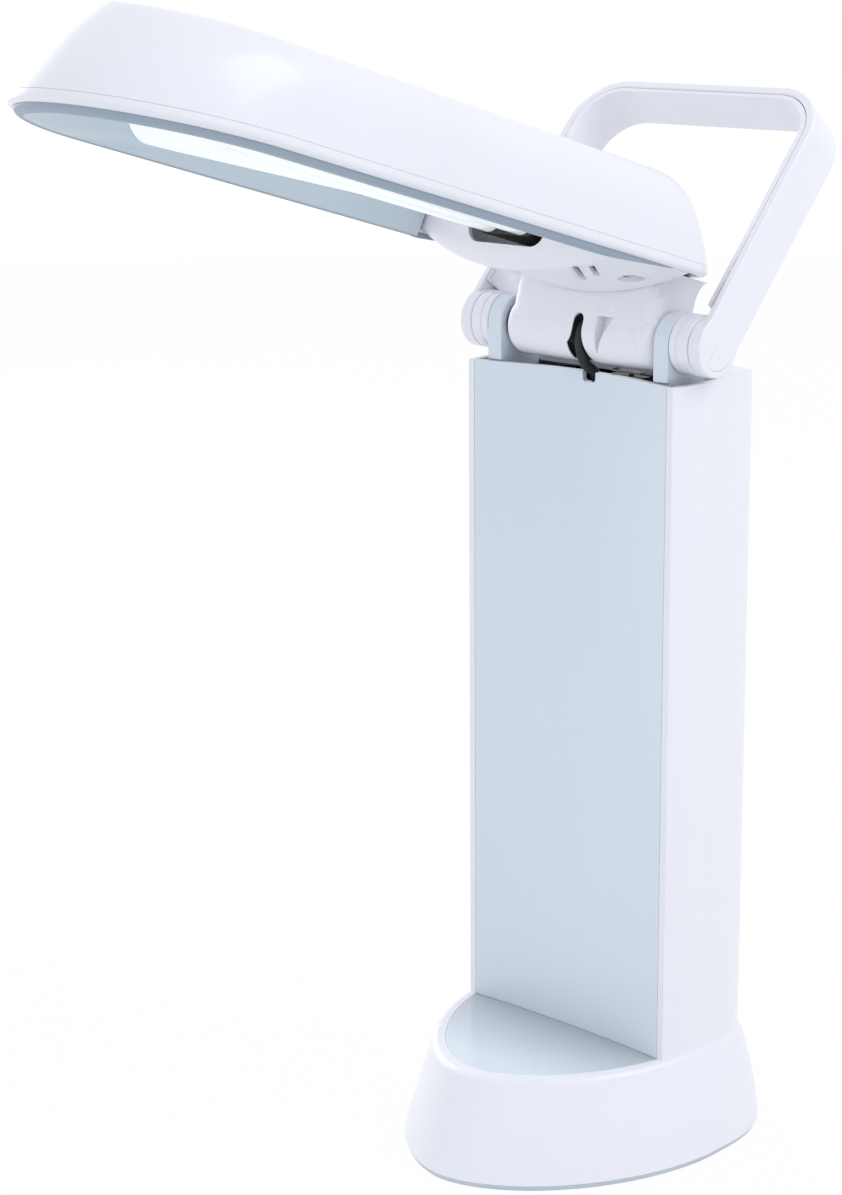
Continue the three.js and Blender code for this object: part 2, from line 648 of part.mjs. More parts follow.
function mirrored(geometry, side) {
  return side > 0 ? geometry : facingOut(reflectX(geometry));
}

function reflectX(geometry) {
  const copy = mergeVertices(bareCopy(geometry), 1e-4);
  copy.scale(-1, 1, 1);
  return copy;
}

function bareCopy(geometry) {
  const copy = geometry.clone();
  copy.deleteAttribute('normal');
  copy.deleteAttribute('uv');
  return copy;
}

// Bore for a pivot bolt, from the middle out to the strap.
function pinBore() {
  return barX(PIN_RADIUS + SEAM, 0, HINGE_HALF_WIDTH + OVERRUN, PIN_STEPS);
}

function hubCollar(side) {
  const ring = barX(HUB_RADIUS, EAR_OUTER_X + SEAM, HUB_INNER_X - SEAM);
  return mirrored(cut(ring, pinBore()), side);
}

function frictionWasher(side) {
  const inner = EAR_INNER_X - SEAM - WASHER_THICKNESS;
  const disc = barX(WASHER_RADIUS, inner, EAR_INNER_X - SEAM);
  return mirrored(cut(disc, pinBore()), side);
}

function pivotBolt(side) {
  const headStart = HINGE_HALF_WIDTH - CAP_THICKNESS - 2 * SEAM - PIN_HEAD_HEIGHT;
  const shank = barX(PIN_RADIUS, BARREL_HALF - PIN_DEPTH, headStart + SEAM, PIN_STEPS);
  const head = barX(PIN_HEAD_RADIUS, headStart, headStart + PIN_HEAD_HEIGHT, PIN_STEPS);
  return mirrored(join(shank, head), side);
}

// Head pieces. Along runs from the hinge line towards the tip, up is square to the plane of the rim.

function headPoint(x, along, up) {
  return new THREE.Vector3(x, -along, up);
}

// A pair of round bars along Z at the two neck screws.
function atNeckScrews(radius, z0, z1, steps = PIN_STEPS) {
  return [-1, 1].map((side) => barZ(radius, z0, z1, side * NECK_SCREW_X, -NECK_SCREW_ALONG, steps));
}

const NOSE_STEPS = 14;
const TAIL_STEPS = 12;
const SIDE_STEPS = 5;

// Outline of the head at a level above the rim plane, drawn in by an inset.
function headRing(level, inset, height = HEAD_HEIGHT) {
  const share = level / height;
  const draw = (1 - share ** SIDE_ROUNDNESS) ** (1 / SIDE_ROUNDNESS);
  const half = (HEAD_HALF_WIDTH - inset) * draw;
  const noseEnd = HEAD_REACH - inset - NOSE_SETBACK * share ** NOSE_LEAN;
  const tailEnd = -HEAD_REAR + inset + TAIL_SETBACK * share ** TAIL_LEAN;
  const noseLength = (NOSE_LENGTH - inset) * draw;
  const tailLength = (TAIL_LENGTH - inset) * draw;
  const up = RIM_ABOVE_AXIS + level;
  const ring = [];
  for (let step = 0; step <= NOSE_STEPS; step++) {
    const turn = Math.PI * (step / NOSE_STEPS - 0.5);
    const x = half * signedPower(Math.sin(turn), 2 / NOSE_ROUNDNESS);
    const along = noseEnd - noseLength + noseLength * signedPower(Math.cos(turn), 2 / NOSE_ROUNDNESS);
    ring.push(headPoint(x, along, up));
  }
  const sideStart = noseEnd - noseLength;
  const sideEnd = tailEnd + tailLength;
  for (let step = 1; step < SIDE_STEPS; step++) {
    ring.push(headPoint(half, sideStart + (sideEnd - sideStart) * step / SIDE_STEPS, up));
  }
  for (let step = 0; step <= TAIL_STEPS; step++) {
    const turn = Math.PI * (0.5 - step / TAIL_STEPS);
    const x = half * signedPower(Math.sin(turn), 2 / TAIL_ROUNDNESS);
    const along = sideEnd - tailLength * signedPower(Math.cos(turn), 2 / TAIL_ROUNDNESS);
    ring.push(headPoint(x, along, up));
  }
  for (let step = 1; step < SIDE_STEPS; step++) {
    ring.push(headPoint(-half, sideEnd + (sideStart - sideEnd) * step / SIDE_STEPS, up));
  }
  return ring;
}

const SHELL_SHARES = [0.35, 0.6, 0.75, 0.85, 0.92, 0.96, 0.985, 0.998];

// White shell of the head, a rounded loaf open below, with two bosses that take the neck screws.
function headShell() {
  const start = BEZEL_HEIGHT + SEAM;
  const outer = [headRing(start, 0), ...SHELL_SHARES.map((share) => headRing(share * HEAD_HEIGHT, 0))];
  const inside = HEAD_HEIGHT - HEAD_WALL;
  const inner = [headRing(start, HEAD_WALL, inside),
    ...SHELL_SHARES.map((share) => headRing(share * inside, HEAD_WALL, inside))];
  const loaf = loft(outer);
  const bossBottom = RIM_ABOVE_AXIS + FLANGE_GAP + FLANGE_THICKNESS + SEAM;
  const posts = atNeckScrews(POST_RADIUS - POST_WALL, bossBottom, HEAD_REACH);
  const bosses = posts.map((post) => common(loaf, post));
  const holes = atNeckScrews(SCREW_SHANK_RADIUS + SEAM, 0, bossBottom + SCREW_LENGTH, SCREW_STEPS);
  return cut(join(loft([...outer.reverse(), ...inner]), ...bosses), ...holes);
}

// Bezel that closes the shell's lower edge, with a rounded outer corner.
function headBezel() {
  const rings = [headRing(BEZEL_HEIGHT, 0), headRing(BEZEL_HEIGHT, BEZEL_THICKNESS)];
  rings.push(headRing(0, BEZEL_THICKNESS));
  for (let step = 0; step <= ROUNDING_STEPS; step++) {
    const turn = Math.PI / 2 * step / ROUNDING_STEPS;
    rings.push(headRing(BEZEL_ROUNDING * (1 - Math.cos(turn)), BEZEL_ROUNDING * (1 - Math.sin(turn))));
  }
  return loft(rings, true);
}

const REFLECTOR_SHARES = [0, 0.35, 0.62, 0.82, 0.94, 0.99];

// Outline of the reflector at a share of its height. Its lower edge climbs from the tip to the lamp base.
function reflectorRing(share, inset) {
  const draw = (1 - share ** REFLECTOR_ROUNDNESS) ** (1 / REFLECTOR_ROUNDNESS);
  const half = (REFLECTOR_HALF_WIDTH - inset) * draw;
  const loss = (1 - REFLECTOR_NOSE_SHARE) * (1 - draw);
  const nose = (REFLECTOR_NOSE - inset) * (1 - loss);
  const shoulder = REFLECTOR_REACH - REFLECTOR_NOSE * (1 + loss);
  const rear = COVER_FRONT - COVER_ROUNDING;
  const place = (x, along) => {
    const climb = REFLECTOR_RISE * (REFLECTOR_REACH - along) / (REFLECTOR_REACH - COVER_FRONT);
    const lower = REFLECTOR_EDGE + climb;
    const top = REFLECTOR_TOP - inset;
    return headPoint(x, along, RIM_ABOVE_AXIS + lower + (top - lower) * share);
  };
  const ring = [];
  for (let step = 0; step <= NOSE_STEPS; step++) {
    const turn = Math.PI * (step / NOSE_STEPS - 0.5);
    ring.push(place(half * Math.sin(turn), shoulder + nose * Math.cos(turn)));
  }
  for (let step = 1; step < SIDE_STEPS; step++) {
    ring.push(place(half, shoulder + (rear - shoulder) * step / (SIDE_STEPS - 1)));
  }
  for (let step = SIDE_STEPS - 1; step > 0; step--) {
    ring.push(place(-half, shoulder + (rear - shoulder) * step / (SIDE_STEPS - 1)));
  }
  return ring;
}

// Bright reflector above the tube: a bath open below and at the lamp base, hung from the shell on two posts.
function reflector() {
  const outer = REFLECTOR_SHARES.map((share) => reflectorRing(share, 0));
  const inner = REFLECTOR_SHARES.map((share) => reflectorRing(share, REFLECTOR_SKIN));
  const bath = loft([...outer.reverse(), ...inner]);
  const postTop = RIM_ABOVE_AXIS + (HEAD_HEIGHT - HEAD_WALL) * SHELL_SHARES.at(-1) - SEAM;
  const posts = [REFLECTOR_POST_REAR, REFLECTOR_POST_FRONT].map((along) => barZ(REFLECTOR_POST_RADIUS,
    RIM_ABOVE_AXIS + REFLECTOR_TOP - REFLECTOR_SKIN / 2, postTop, 0, -along, SCREW_STEPS));
  const behind = box(-HEAD_HALF_WIDTH, HEAD_HALF_WIDTH, -COVER_FRONT - COVER_SKIN, 0, 0, HEAD_REACH);
  return cut(join(bath, ...posts), behind);
}

// Twin glass tube, closed at the tip and linked by a short bridge.
function lampTube() {
  const start = LAMP_BASE_FRONT + SEAM;
  const end = TUBE_TIP - TUBE_RADIUS;
  const limb = () => {
    const points = [new THREE.Vector2(0, start)];
    points.push(new THREE.Vector2(TUBE_RADIUS, start));
    for (let step = 0; step < PIN_STEPS / 4; step++) {
      const turn = Math.PI / 2 * step / (PIN_STEPS / 4);
      points.push(new THREE.Vector2(TUBE_RADIUS * Math.cos(turn), end + TUBE_RADIUS * Math.sin(turn)));
    }
    points.push(new THREE.Vector2(0, TUBE_TIP));
    return new THREE.LatheGeometry(points, PIN_STEPS).rotateX(Math.PI);
  };
  const half = TUBE_SPACING / 2;
  const bridge = barX(TUBE_BRIDGE_RADIUS, -half, half, PIN_STEPS);
  bridge.translate(0, TUBE_BRIDGE_SETBACK - TUBE_TIP, 0);
  const pair = join(limb().translate(-half, 0, 0), limb().translate(half, 0, 0), bridge);
  return pair.translate(0, 0, TUBE_UP);
}

function lampBase() {
  const shape = roundedRect(LAMP_BASE_WIDTH / 2, -LAMP_BASE_HEIGHT / 2, LAMP_BASE_HEIGHT / 2, TUBE_RADIUS);
  return slabY(shape, -LAMP_BASE_FRONT, -LAMP_BASE_FRONT + LAMP_BASE_LENGTH, 5).translate(0, 0, TUBE_UP);
}

// Two-pin holder behind the lamp base, standing on the flange of the neck.
function lampSocket() {
  const rear = LAMP_BASE_FRONT - LAMP_BASE_LENGTH - SEAM;
  const floor = RIM_ABOVE_AXIS + FLANGE_GAP + FLANGE_THICKNESS;
  return box(-SOCKET_WIDTH / 2, SOCKET_WIDTH / 2, -rear, -rear + SOCKET_LENGTH,
    floor + SEAM, floor + SEAM + SOCKET_HEIGHT);
}

// Spring clip round the two limbs, hung from the reflector.
function tubeClip() {
  const halfWidth = TUBE_SPACING / 2 + TUBE_RADIUS + SEAM;
  const reach = TUBE_RADIUS + SEAM;
  const outside = roundedRect(halfWidth + CLIP_SKIN, -reach + SEAM, reach + CLIP_SKIN, reach);
  const inside = roundedRect(halfWidth, -2 * reach, reach, reach);
  const y0 = -CLIP_ALONG;
  const band = cut(slabY(outside, y0, y0 + CLIP_LENGTH, 6),
    slabY(inside, y0 - OVERRUN, y0 + CLIP_LENGTH + OVERRUN, 6));
  const stalkTop = RIM_ABOVE_AXIS + REFLECTOR_TOP - REFLECTOR_SKIN - TUBE_UP - SEAM;
  const stalk = box(-CLIP_LENGTH / 4, CLIP_LENGTH / 4, y0, y0 + CLIP_LENGTH, reach + CLIP_SKIN / 2, stalkTop);
  return join(band, stalk).translate(0, 0, TUBE_UP);
}

const COVER_STATIONS = 18;
const COVER_CORNER_STEPS = 4;

// Height above the hinge line of the cover's underside, bowed across the head.
function coverUnderside(x) {
  const lowest = RIM_ABOVE_AXIS - COVER_DROP;
  return lowest + COVER_DROP * (x / COVER_HALF_WIDTH) ** 2;
}

// Section of the cover at one x: along the underside, round the chin and up the front wall.
function coverSection(x, skin) {
  const under = coverUnderside(x) + skin;
  const wall = COVER_FRONT - COVER_BOW * (x / COVER_HALF_WIDTH) ** 2 - skin;
  const corner = COVER_ROUNDING - skin;
  const section = [headPoint(x, BARREL_RADIUS + SEAM, under)];
  for (let step = 0; step <= COVER_CORNER_STEPS; step++) {
    const turn = Math.PI / 2 * step / COVER_CORNER_STEPS;
    const along = wall - corner * (1 - Math.sin(turn));
    section.push(headPoint(x, along, under + corner * (1 - Math.cos(turn))));
  }
  section.push(headPoint(x, wall, RIM_ABOVE_AXIS + COVER_TOP));
  return section;
}

// White cover under the socket: a bowed chin across the head with a window that the tubes pass through.
function socketCover() {
  const rings = [];
  for (let station = 0; station <= COVER_STATIONS; station++) {
    const x = (2 * station / COVER_STATIONS - 1) * COVER_HALF_WIDTH;
    rings.push([...coverSection(x, 0), ...coverSection(x, COVER_SKIN).reverse()]);
  }
  const postTop = RIM_ABOVE_AXIS + FLANGE_GAP - SEAM;
  const bottom = coverUnderside(NECK_SCREW_X) + COVER_SKIN / 2;
  const posts = atNeckScrews(POST_RADIUS, bottom, postTop);
  const recesses = atNeckScrews(POST_RADIUS - POST_WALL, 0, postTop - POST_WALL);
  const holes = atNeckScrews(SCREW_SHANK_RADIUS + SEAM, 0, postTop + OVERRUN, SCREW_STEPS);
  const windowTop = COVER_TOP + OVERRUN + WINDOW_ROUNDING;
  const shape = roundedRect(WINDOW_WIDTH / 2, -WINDOW_SILL, windowTop, WINDOW_ROUNDING);
  const window = slabY(shape, -COVER_FRONT - OVERRUN, -COVER_FRONT + 3 * COVER_SKIN, 5);
  window.translate(0, 0, RIM_ABOVE_AXIS);
  return cut(join(loftAlongX(rings), ...posts), ...recesses, ...holes, window, ...[-1, 1].flatMap(hookSlots));
}

// Two slanted slots for the snap hooks behind the chin, the outer one shorter.
function hookSlots(side) {
  const turn = THREE.MathUtils.degToRad(side * HOOK_TURN);
  return [1, HOOK_SHORT_SHARE].map((share, count) => {
    const reach = share * HOOK_LENGTH / 2;
    const slot = box(-HOOK_WIDTH / 2, HOOK_WIDTH / 2, -reach, reach,
      RIM_ABOVE_AXIS - COVER_DROP - OVERRUN, RIM_ABOVE_AXIS);
    const x = side * (HOOK_X + count * HOOK_PITCH);
    return slot.rotateZ(turn).translate(x, -HOOK_ALONG + count * HOOK_STAGGER, 0);
  });
}

// A skin through sections that each lie in a plane of constant X, with the ends triangulated.
function loftAlongX(rings) {
  const turned = rings.map((ring) => ring.map((point) => new THREE.Vector3(point.y, point.z, point.x)));
  const geometry = loftStrip(turned);
  const position = geometry.attributes.position;
  for (let i = 0; i < position.count; i++) {
    position.setXYZ(i, position.getZ(i), position.getX(i), position.getY(i));
  }
  return facingOut(geometry);
}

// Barrel with rounded ends, lathed about the hinge line.
function barrelBody() {
  const points = [new THREE.Vector2(0, -BARREL_HALF)];
  const corner = BARREL_ROUNDING;
  for (const [end, start] of [[-1, -Math.PI / 2], [1, 0]]) {
    for (let step = 0; step <= 4; step++) {
      const turn = start + Math.PI / 2 * step / 4;
      points.push(new THREE.Vector2(
        BARREL_RADIUS - corner + corner * Math.cos(turn),
        end * (BARREL_HALF - corner) + corner * Math.sin(turn),
      ));
    }
  }
  points.push(new THREE.Vector2(0, BARREL_HALF));
  return new THREE.LatheGeometry(points, ROUND_STEPS).rotateZ(-Math.PI / 2);
}

const NECK_SHARES = [0, 0.4, 0.7, 0.88, 1];

// Outline of the neck seen from above: well rounded front corners and nearly square rear ones.
function neckRing(half, up) {
  const ring = [];
  const corners = [
    [1, -1, NECK_ROUNDING, -90], [1, 1, NECK_REAR_ROUNDING, 0],
    [-1, 1, NECK_REAR_ROUNDING, 90], [-1, -1, NECK_ROUNDING, 180],
  ];
  for (const [sideX, sideY, radius, start] of corners) {
    for (let step = 0; step <= 4; step++) {
      const turn = THREE.MathUtils.degToRad(start + 90 * step / 4);
      const x = sideX * (half - radius) + radius * Math.cos(turn);
      ring.push(new THREE.Vector3(x, sideY * (BARREL_RADIUS - radius) + radius * Math.sin(turn), up));
    }
  }
  return ring;
}

// Neck: a block as deep as the barrel, spreading a little like a trumpet up to the rim.
function neckBlock() {
  const rise = RIM_ABOVE_AXIS - SEAM - FLARE_START;
  const flared = NECK_SHARES.map((share) => {
    const spread = FLARE_SPREAD * (1 - Math.sqrt(1 - share * share));
    return neckRing(BARREL_HALF + spread, FLARE_START + rise * share);
  });
  return loft([neckRing(BARREL_HALF, 0), ...flared]);
}

// Flange inside the head that the cover and the shell are screwed to.
function neckFlange() {
  const under = RIM_ABOVE_AXIS + FLANGE_GAP;
  const over = under + FLANGE_THICKNESS;
  const ear = LAMP_BASE_WIDTH / 2 + TAB_CLEARANCE;
  const plate = box(-FLANGE_HALF, FLANGE_HALF, -FLANGE_REACH, -FLANGE_REAR, under, over);
  const riser = box(-BARREL_HALF, BARREL_HALF, -BARREL_RADIUS + SEAM, -FLANGE_REAR, FLARE_START, over);
  const tab = box(ear, FLANGE_HALF, -FLANGE_REACH - POST_RADIUS / 2, -FLANGE_REAR, under, over);
  return join(plate, riser, mirrored(tab, -1), tab);
}

// Slot for the lead, seen from the front: a round top, straight sides and a flared mouth.
function leadSlot() {
  const half = SLOT_WIDTH / 2;
  const shape = new THREE.Shape();
  shape.moveTo(LEAD_X + half, 0);
  shape.lineTo(LEAD_X + half, SLOT_TOP - half);
  shape.absarc(LEAD_X, SLOT_TOP - half, half, 0, Math.PI);
  shape.lineTo(LEAD_X - half, 0);
  shape.quadraticCurveTo(LEAD_X - half, -BARREL_RADIUS / 3, LEAD_X - SLOT_FLARE_LEFT, -BARREL_RADIUS / 2);
  shape.lineTo(LEAD_X - SLOT_FLARE_LEFT, -BARREL_RADIUS - OVERRUN);
  shape.lineTo(LEAD_X + SLOT_FLARE_RIGHT, -BARREL_RADIUS - OVERRUN);
  shape.quadraticCurveTo(LEAD_X + half, -BARREL_RADIUS / 2, LEAD_X + half, 0);
  return slabY(shape, -BARREL_RADIUS - OVERRUN, -BARREL_RADIUS / 4, 6);
}

// Tapered groove for the switch lever: a wedge that is deepest at its upright left wall.
function switchGroove() {
  const outside = BARREL_RADIUS + OVERRUN;
  const surfaceAt = (up) => Math.sqrt(BARREL_RADIUS ** 2 - up ** 2);
  const front = [
    headPoint(GROOVE_LEFT, outside, GROOVE_TOP),
    headPoint(GROOVE_RIGHT, outside, GROOVE_TOP),
    headPoint(GROOVE_TIP_X, outside, -GROOVE_TIP_DROP),
  ];
  const back = [
    headPoint(GROOVE_LEFT, surfaceAt(GROOVE_TOP) - GROOVE_DEPTH, GROOVE_TOP),
    headPoint(GROOVE_RIGHT, surfaceAt(GROOVE_TOP), GROOVE_TOP),
    headPoint(GROOVE_TIP_X, surfaceAt(GROOVE_TIP_DROP), -GROOVE_TIP_DROP),
  ];
  return loft([front, back]);
}

// The moulding that turns in the ears: barrel, neck and flange, with the lead slot, groove and pin bores.
function hingeBarrel() {
  const bore = barX(PIN_RADIUS + SEAM, BARREL_HALF - PIN_DEPTH - SEAM, BARREL_HALF + OVERRUN, PIN_STEPS);
  const holeTop = RIM_ABOVE_AXIS + NECK_ROUNDING;
  const holes = atNeckScrews(SCREW_SHANK_RADIUS + SEAM, RIM_ABOVE_AXIS, holeTop, SCREW_STEPS);
  return cut(join(barrelBody(), neckBlock(), neckFlange()),
    leadSlot(), switchGroove(), bore, facingOut(reflectX(bore)), ...holes);
}

// Screw through a recess of the cover and the flange into a boss of the shell.
function neckScrew(side) {
  const seat = RIM_ABOVE_AXIS + FLANGE_GAP - SEAM - POST_WALL;
  const x = side * NECK_SCREW_X;
  const head = barZ(NECK_SCREW_RADIUS, seat - SCREW_HEAD_HEIGHT, seat, x, -NECK_SCREW_ALONG);
  const shank = barZ(SCREW_SHANK_RADIUS, seat - SEAM, seat + SCREW_LENGTH, x, -NECK_SCREW_ALONG, SCREW_STEPS);
  return join(head, shank);
}

// Handle, drawn upright about the hinge line.

// Outline of a U strap in X and Z between two offsets in from the outer face.
function strapShape(outset, inset) {
  const outerX = HINGE_HALF_WIDTH - outset;
  const innerX = HINGE_HALF_WIDTH - inset;
  const outerTop = HANDLE_REACH - outset;
  const innerTop = HANDLE_REACH - inset;
  const outerCorner = HANDLE_CORNER - outset;
  const innerCorner = HANDLE_CORNER - inset;
  const shape = new THREE.Shape();
  shape.moveTo(innerX, 0);
  shape.lineTo(outerX, 0);
  shape.lineTo(outerX, outerTop - outerCorner);
  shape.absarc(outerX - outerCorner, outerTop - outerCorner, outerCorner, 0, Math.PI / 2);
  shape.lineTo(-outerX + outerCorner, outerTop);
  shape.absarc(-outerX + outerCorner, outerTop - outerCorner, outerCorner, Math.PI / 2, Math.PI);
  shape.lineTo(-outerX, 0);
  shape.lineTo(-innerX, 0);
  shape.lineTo(-innerX, innerTop - innerCorner);
  shape.absarc(-innerX + innerCorner, innerTop - innerCorner, innerCorner, Math.PI, Math.PI / 2, true);
  shape.lineTo(innerX - innerCorner, innerTop);
  shape.absarc(innerX - innerCorner, innerTop - innerCorner, innerCorner, Math.PI / 2, 0, true);
  return shape;
}

function strap(shape) {
  const geometry = new THREE.ExtrudeGeometry(shape, {
    depth: STRAP_WIDTH - 2 * STRAP_BEVEL,
    bevelThickness: STRAP_BEVEL,
    bevelSize: STRAP_BEVEL,
    bevelOffset: -STRAP_BEVEL,
    bevelSegments: 1,
    curveSegments: 8,
  });
  return geometry.rotateX(Math.PI / 2).translate(0, STRAP_WIDTH / 2 - STRAP_BEVEL, 0);
}

// Half disc of the snap-in cover, cut straight across the arm, seated in the hub's outer face.
function capShape(radius, chord) {
  const shape = new THREE.Shape();
  const turn = Math.asin(chord / radius);
  shape.absarc(0, 0, radius, Math.PI - turn, 2 * Math.PI + turn);
  return shape;
}

// Outer half of the strap with the two hub discs that turn beside the collars.
function handleOuter() {
  const band = strap(strapShape(0, STRAP_OUTER));
  const hubs = [-1, 1].map((side) => mirrored(barX(HUB_RADIUS, HUB_INNER_X, HINGE_HALF_WIDTH), side));
  const bolts = [-1, 1].map((side) => mirrored(pinBore(), side));
  const headStart = HINGE_HALF_WIDTH - CAP_THICKNESS - 3 * SEAM - PIN_HEAD_HEIGHT;
  const well = barX(PIN_HEAD_RADIUS + SEAM, headStart, HINGE_HALF_WIDTH + OVERRUN, PIN_STEPS);
  const wells = [-1, 1].map((side) => mirrored(well, side));
  const recess = slabX(capShape(CAP_RADIUS + SEAM, CAP_CHORD + SEAM),
    HINGE_HALF_WIDTH - CAP_THICKNESS - SEAM, HINGE_HALF_WIDTH + OVERRUN, ROUND_STEPS / 2);
  const covers = [recess, facingOut(reflectX(recess))];
  return cut(join(band, ...hubs), ...bolts, ...wells, ...covers);
}

// Inner half of the strap, ending above the hub discs.
function handleInner() {
  const hub = HUB_RADIUS + SEAM;
  const band = strap(strapShape(STRAP_OUTER + STRAP_SEAM, STRAP_THICKNESS));
  return cut(band, box(-HINGE_HALF_WIDTH, HINGE_HALF_WIDTH, -hub, hub, -hub, hub));
}

function hubCap(side) {
  const shape = capShape(CAP_RADIUS, CAP_CHORD);
  return mirrored(slabX(shape, HINGE_HALF_WIDTH - CAP_THICKNESS, HINGE_HALF_WIDTH, ROUND_STEPS / 2), side);
}

// Switch under the barrel: body, sprung lever and plunger.
const LEVER_TOP = -BARREL_RADIUS - LEVER_GAP - LEVER_BUMP;
const SWITCH_TOP = LEVER_TOP - LEVER_THICKNESS - PLUNGER_LIFT - SEAM;

function switchBody() {
  const bottom = PANEL_TOP_Z - BRACKET_DROP - AXIS_Z;
  const body = box(SWITCH_PIVOT_X - SWITCH_LENGTH, SWITCH_PIVOT_X + LEVER_WIDTH / 2,
    -SWITCH_DEPTH / 2, SWITCH_DEPTH / 2, bottom, SWITCH_TOP);
  const well = barZ(PLUNGER_RADIUS + SEAM, bottom + LEVER_WIDTH, SWITCH_TOP + OVERRUN,
    SWITCH_PIVOT_X - SWITCH_LENGTH / 3, 0, SCREW_STEPS);
  return cut(body, well);
}

function switchLever() {
  const shape = new THREE.Shape();
  shape.moveTo(LEVER_TIP_X, LEVER_TOP - LEVER_THICKNESS);
  shape.lineTo(SWITCH_PIVOT_X + LEVER_THICKNESS, LEVER_TOP - LEVER_THICKNESS);
  shape.lineTo(SWITCH_PIVOT_X + LEVER_THICKNESS, LEVER_TOP);
  shape.lineTo(LEVER_TIP_X + 3 * LEVER_BUMP, LEVER_TOP);
  shape.lineTo(LEVER_TIP_X + LEVER_BUMP, LEVER_TOP + LEVER_BUMP);
  shape.lineTo(LEVER_TIP_X, LEVER_TOP + LEVER_BUMP);
  return slabY(shape, -LEVER_WIDTH / 2, LEVER_WIDTH / 2);
}

function switchPlunger() {
  const x = SWITCH_PIVOT_X - SWITCH_LENGTH / 3;
  return barZ(PLUNGER_RADIUS, SWITCH_TOP - PLUNGER_LIFT, SWITCH_TOP + PLUNGER_LIFT, x, 0, SCREW_STEPS);
}

// Black lead from the column, over the panel's notch and up the barrel's slot into the head.
function hingeLead() {
  const behind = PANEL_Y + PANEL_DISH_TOP + PANEL_THICKNESS;
  const route = LEAD_ROUTE_SHARES.map(([across, back, rise]) => new THREE.Vector3(
    NOTCH_X + across * (LEAD_X - NOTCH_X),
    behind + back * LEAD_DIAMETER,
    PANEL_TOP_Z + rise * LEAD_DIAMETER,
  ));
  const curve = new THREE.CatmullRomCurve3(route);
  const section = new THREE.Shape();
  section.absarc(0, 0, LEAD_DIAMETER / 2, 0, 2 * Math.PI);
  const options = { steps: 24, curveSegments: 5, extrudePath: curve, bevelEnabled: false };
  return new THREE.ExtrudeGeometry(section, options);
}

// Materials
function finish(color, roughness, metalness = 0) {
  return new THREE.MeshStandardMaterial({ color, roughness, metalness });
}

const WHITE = finish(0xeff2fb, 0.35);
const GREY = finish(0xd2dce8, 0.22);
const RIM_GREY = finish(0x9fabbd, 0.5);
const BLACK = finish(0x22282c, 0.55);
const STEEL = finish(0xb9bcc0, 0.35, 1);
const SHINE = finish(0xf2f6f7, 0.2, 0.3);
const GLASS = finish(0xf6fbfa, 0.15);
const COPPER = finish(0xa86a3a, 0.4, 0.8);
const RUBBER = finish(0x3a3d40, 0.9);

function place(parent, name, geometry, material) {
  const mesh = new THREE.Mesh(geometry, material);
  mesh.name = name;
  parent.add(mesh);
}

function sideName(stem, side) {
  return `${stem}_${side > 0 ? 'right' : 'left'}`;
}

function buildColumn(lamp) {
  place(lamp, 'base_pad', basePad(), RUBBER);
  place(lamp, 'base_plate', basePlate(), RIM_GREY);
  SCREW_PLACES.forEach(([x, y], i) => place(lamp, `base_screw_${i + 1}`, baseScrew(x, y), STEEL));
  place(lamp, 'weight_plate', weightPlate(), STEEL);
  place(lamp, 'ballast_core', ballastCore(), STEEL);
  place(lamp, 'ballast_coil', ballastCoil(), COPPER);
  place(lamp, 'cord_gland', cordGland(), BLACK);
  place(lamp, 'column_housing', columnHousing(), WHITE);
  place(lamp, 'front_panel', frontPanel(), GREY);
  place(lamp, 'ledge_tray', ledgeTray(), GREY);
  place(lamp, 'hinge_bracket', hingeBracket(), GREY);
}

function buildHinge(hinge) {
  for (const side of [-1, 1]) {
    place(hinge, sideName('hub_collar', side), hubCollar(side), WHITE);
    place(hinge, sideName('friction_washer', side), frictionWasher(side), STEEL);
    place(hinge, sideName('pivot_bolt', side), pivotBolt(side), STEEL);
  }
  place(hinge, 'switch_body', switchBody(), BLACK);
  place(hinge, 'switch_lever', switchLever(), STEEL);
  place(hinge, 'switch_plunger', switchPlunger(), WHITE);
}

function buildHead(head) {
  place(head, 'hinge_barrel', hingeBarrel(), WHITE);
  place(head, 'neck_screw_left', neckScrew(-1), STEEL);
  place(head, 'neck_screw_right', neckScrew(1), STEEL);
  place(head, 'head_bezel', headBezel(), WHITE);
  place(head, 'head_shell', headShell(), WHITE);
  place(head, 'reflector', reflector(), SHINE);
  place(head, 'lamp_tube', lampTube(), GLASS);
  place(head, 'lamp_base', lampBase(), WHITE);
  place(head, 'lamp_socket', lampSocket(), WHITE);
  place(head, 'socket_cover', socketCover(), WHITE);
  place(head, 'tube_clip', tubeClip(), WHITE);
}

function buildHandle(handle) {
  place(handle, 'handle_outer', handleOuter(), WHITE);
  place(handle, 'handle_inner', handleInner(), WHITE);
  for (const side of [-1, 1]) {
    place(handle, sideName('hub_cap', side), hubCap(side), WHITE);
  }
}

const lamp = new THREE.Group();
const hinge = new THREE.Group();
hinge.position.set(0, AXIS_Y, AXIS_Z);
const head = new THREE.Group();
head.rotation.x = -THREE.MathUtils.degToRad(HEAD_TILT);
const handle = new THREE.Group();
handle.rotation.x = -THREE.MathUtils.degToRad(HANDLE_LEAN);
lamp.add(hinge);
hinge.add(head);
hinge.add(handle);
buildColumn(lamp);
buildHinge(hinge);
buildHead(head);
buildHandle(handle);
place(lamp, 'hinge_lead', hingeLead(), BLACK);

export default lamp;
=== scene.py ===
import math

import bmesh
import bpy
from mathutils import Matrix, Vector


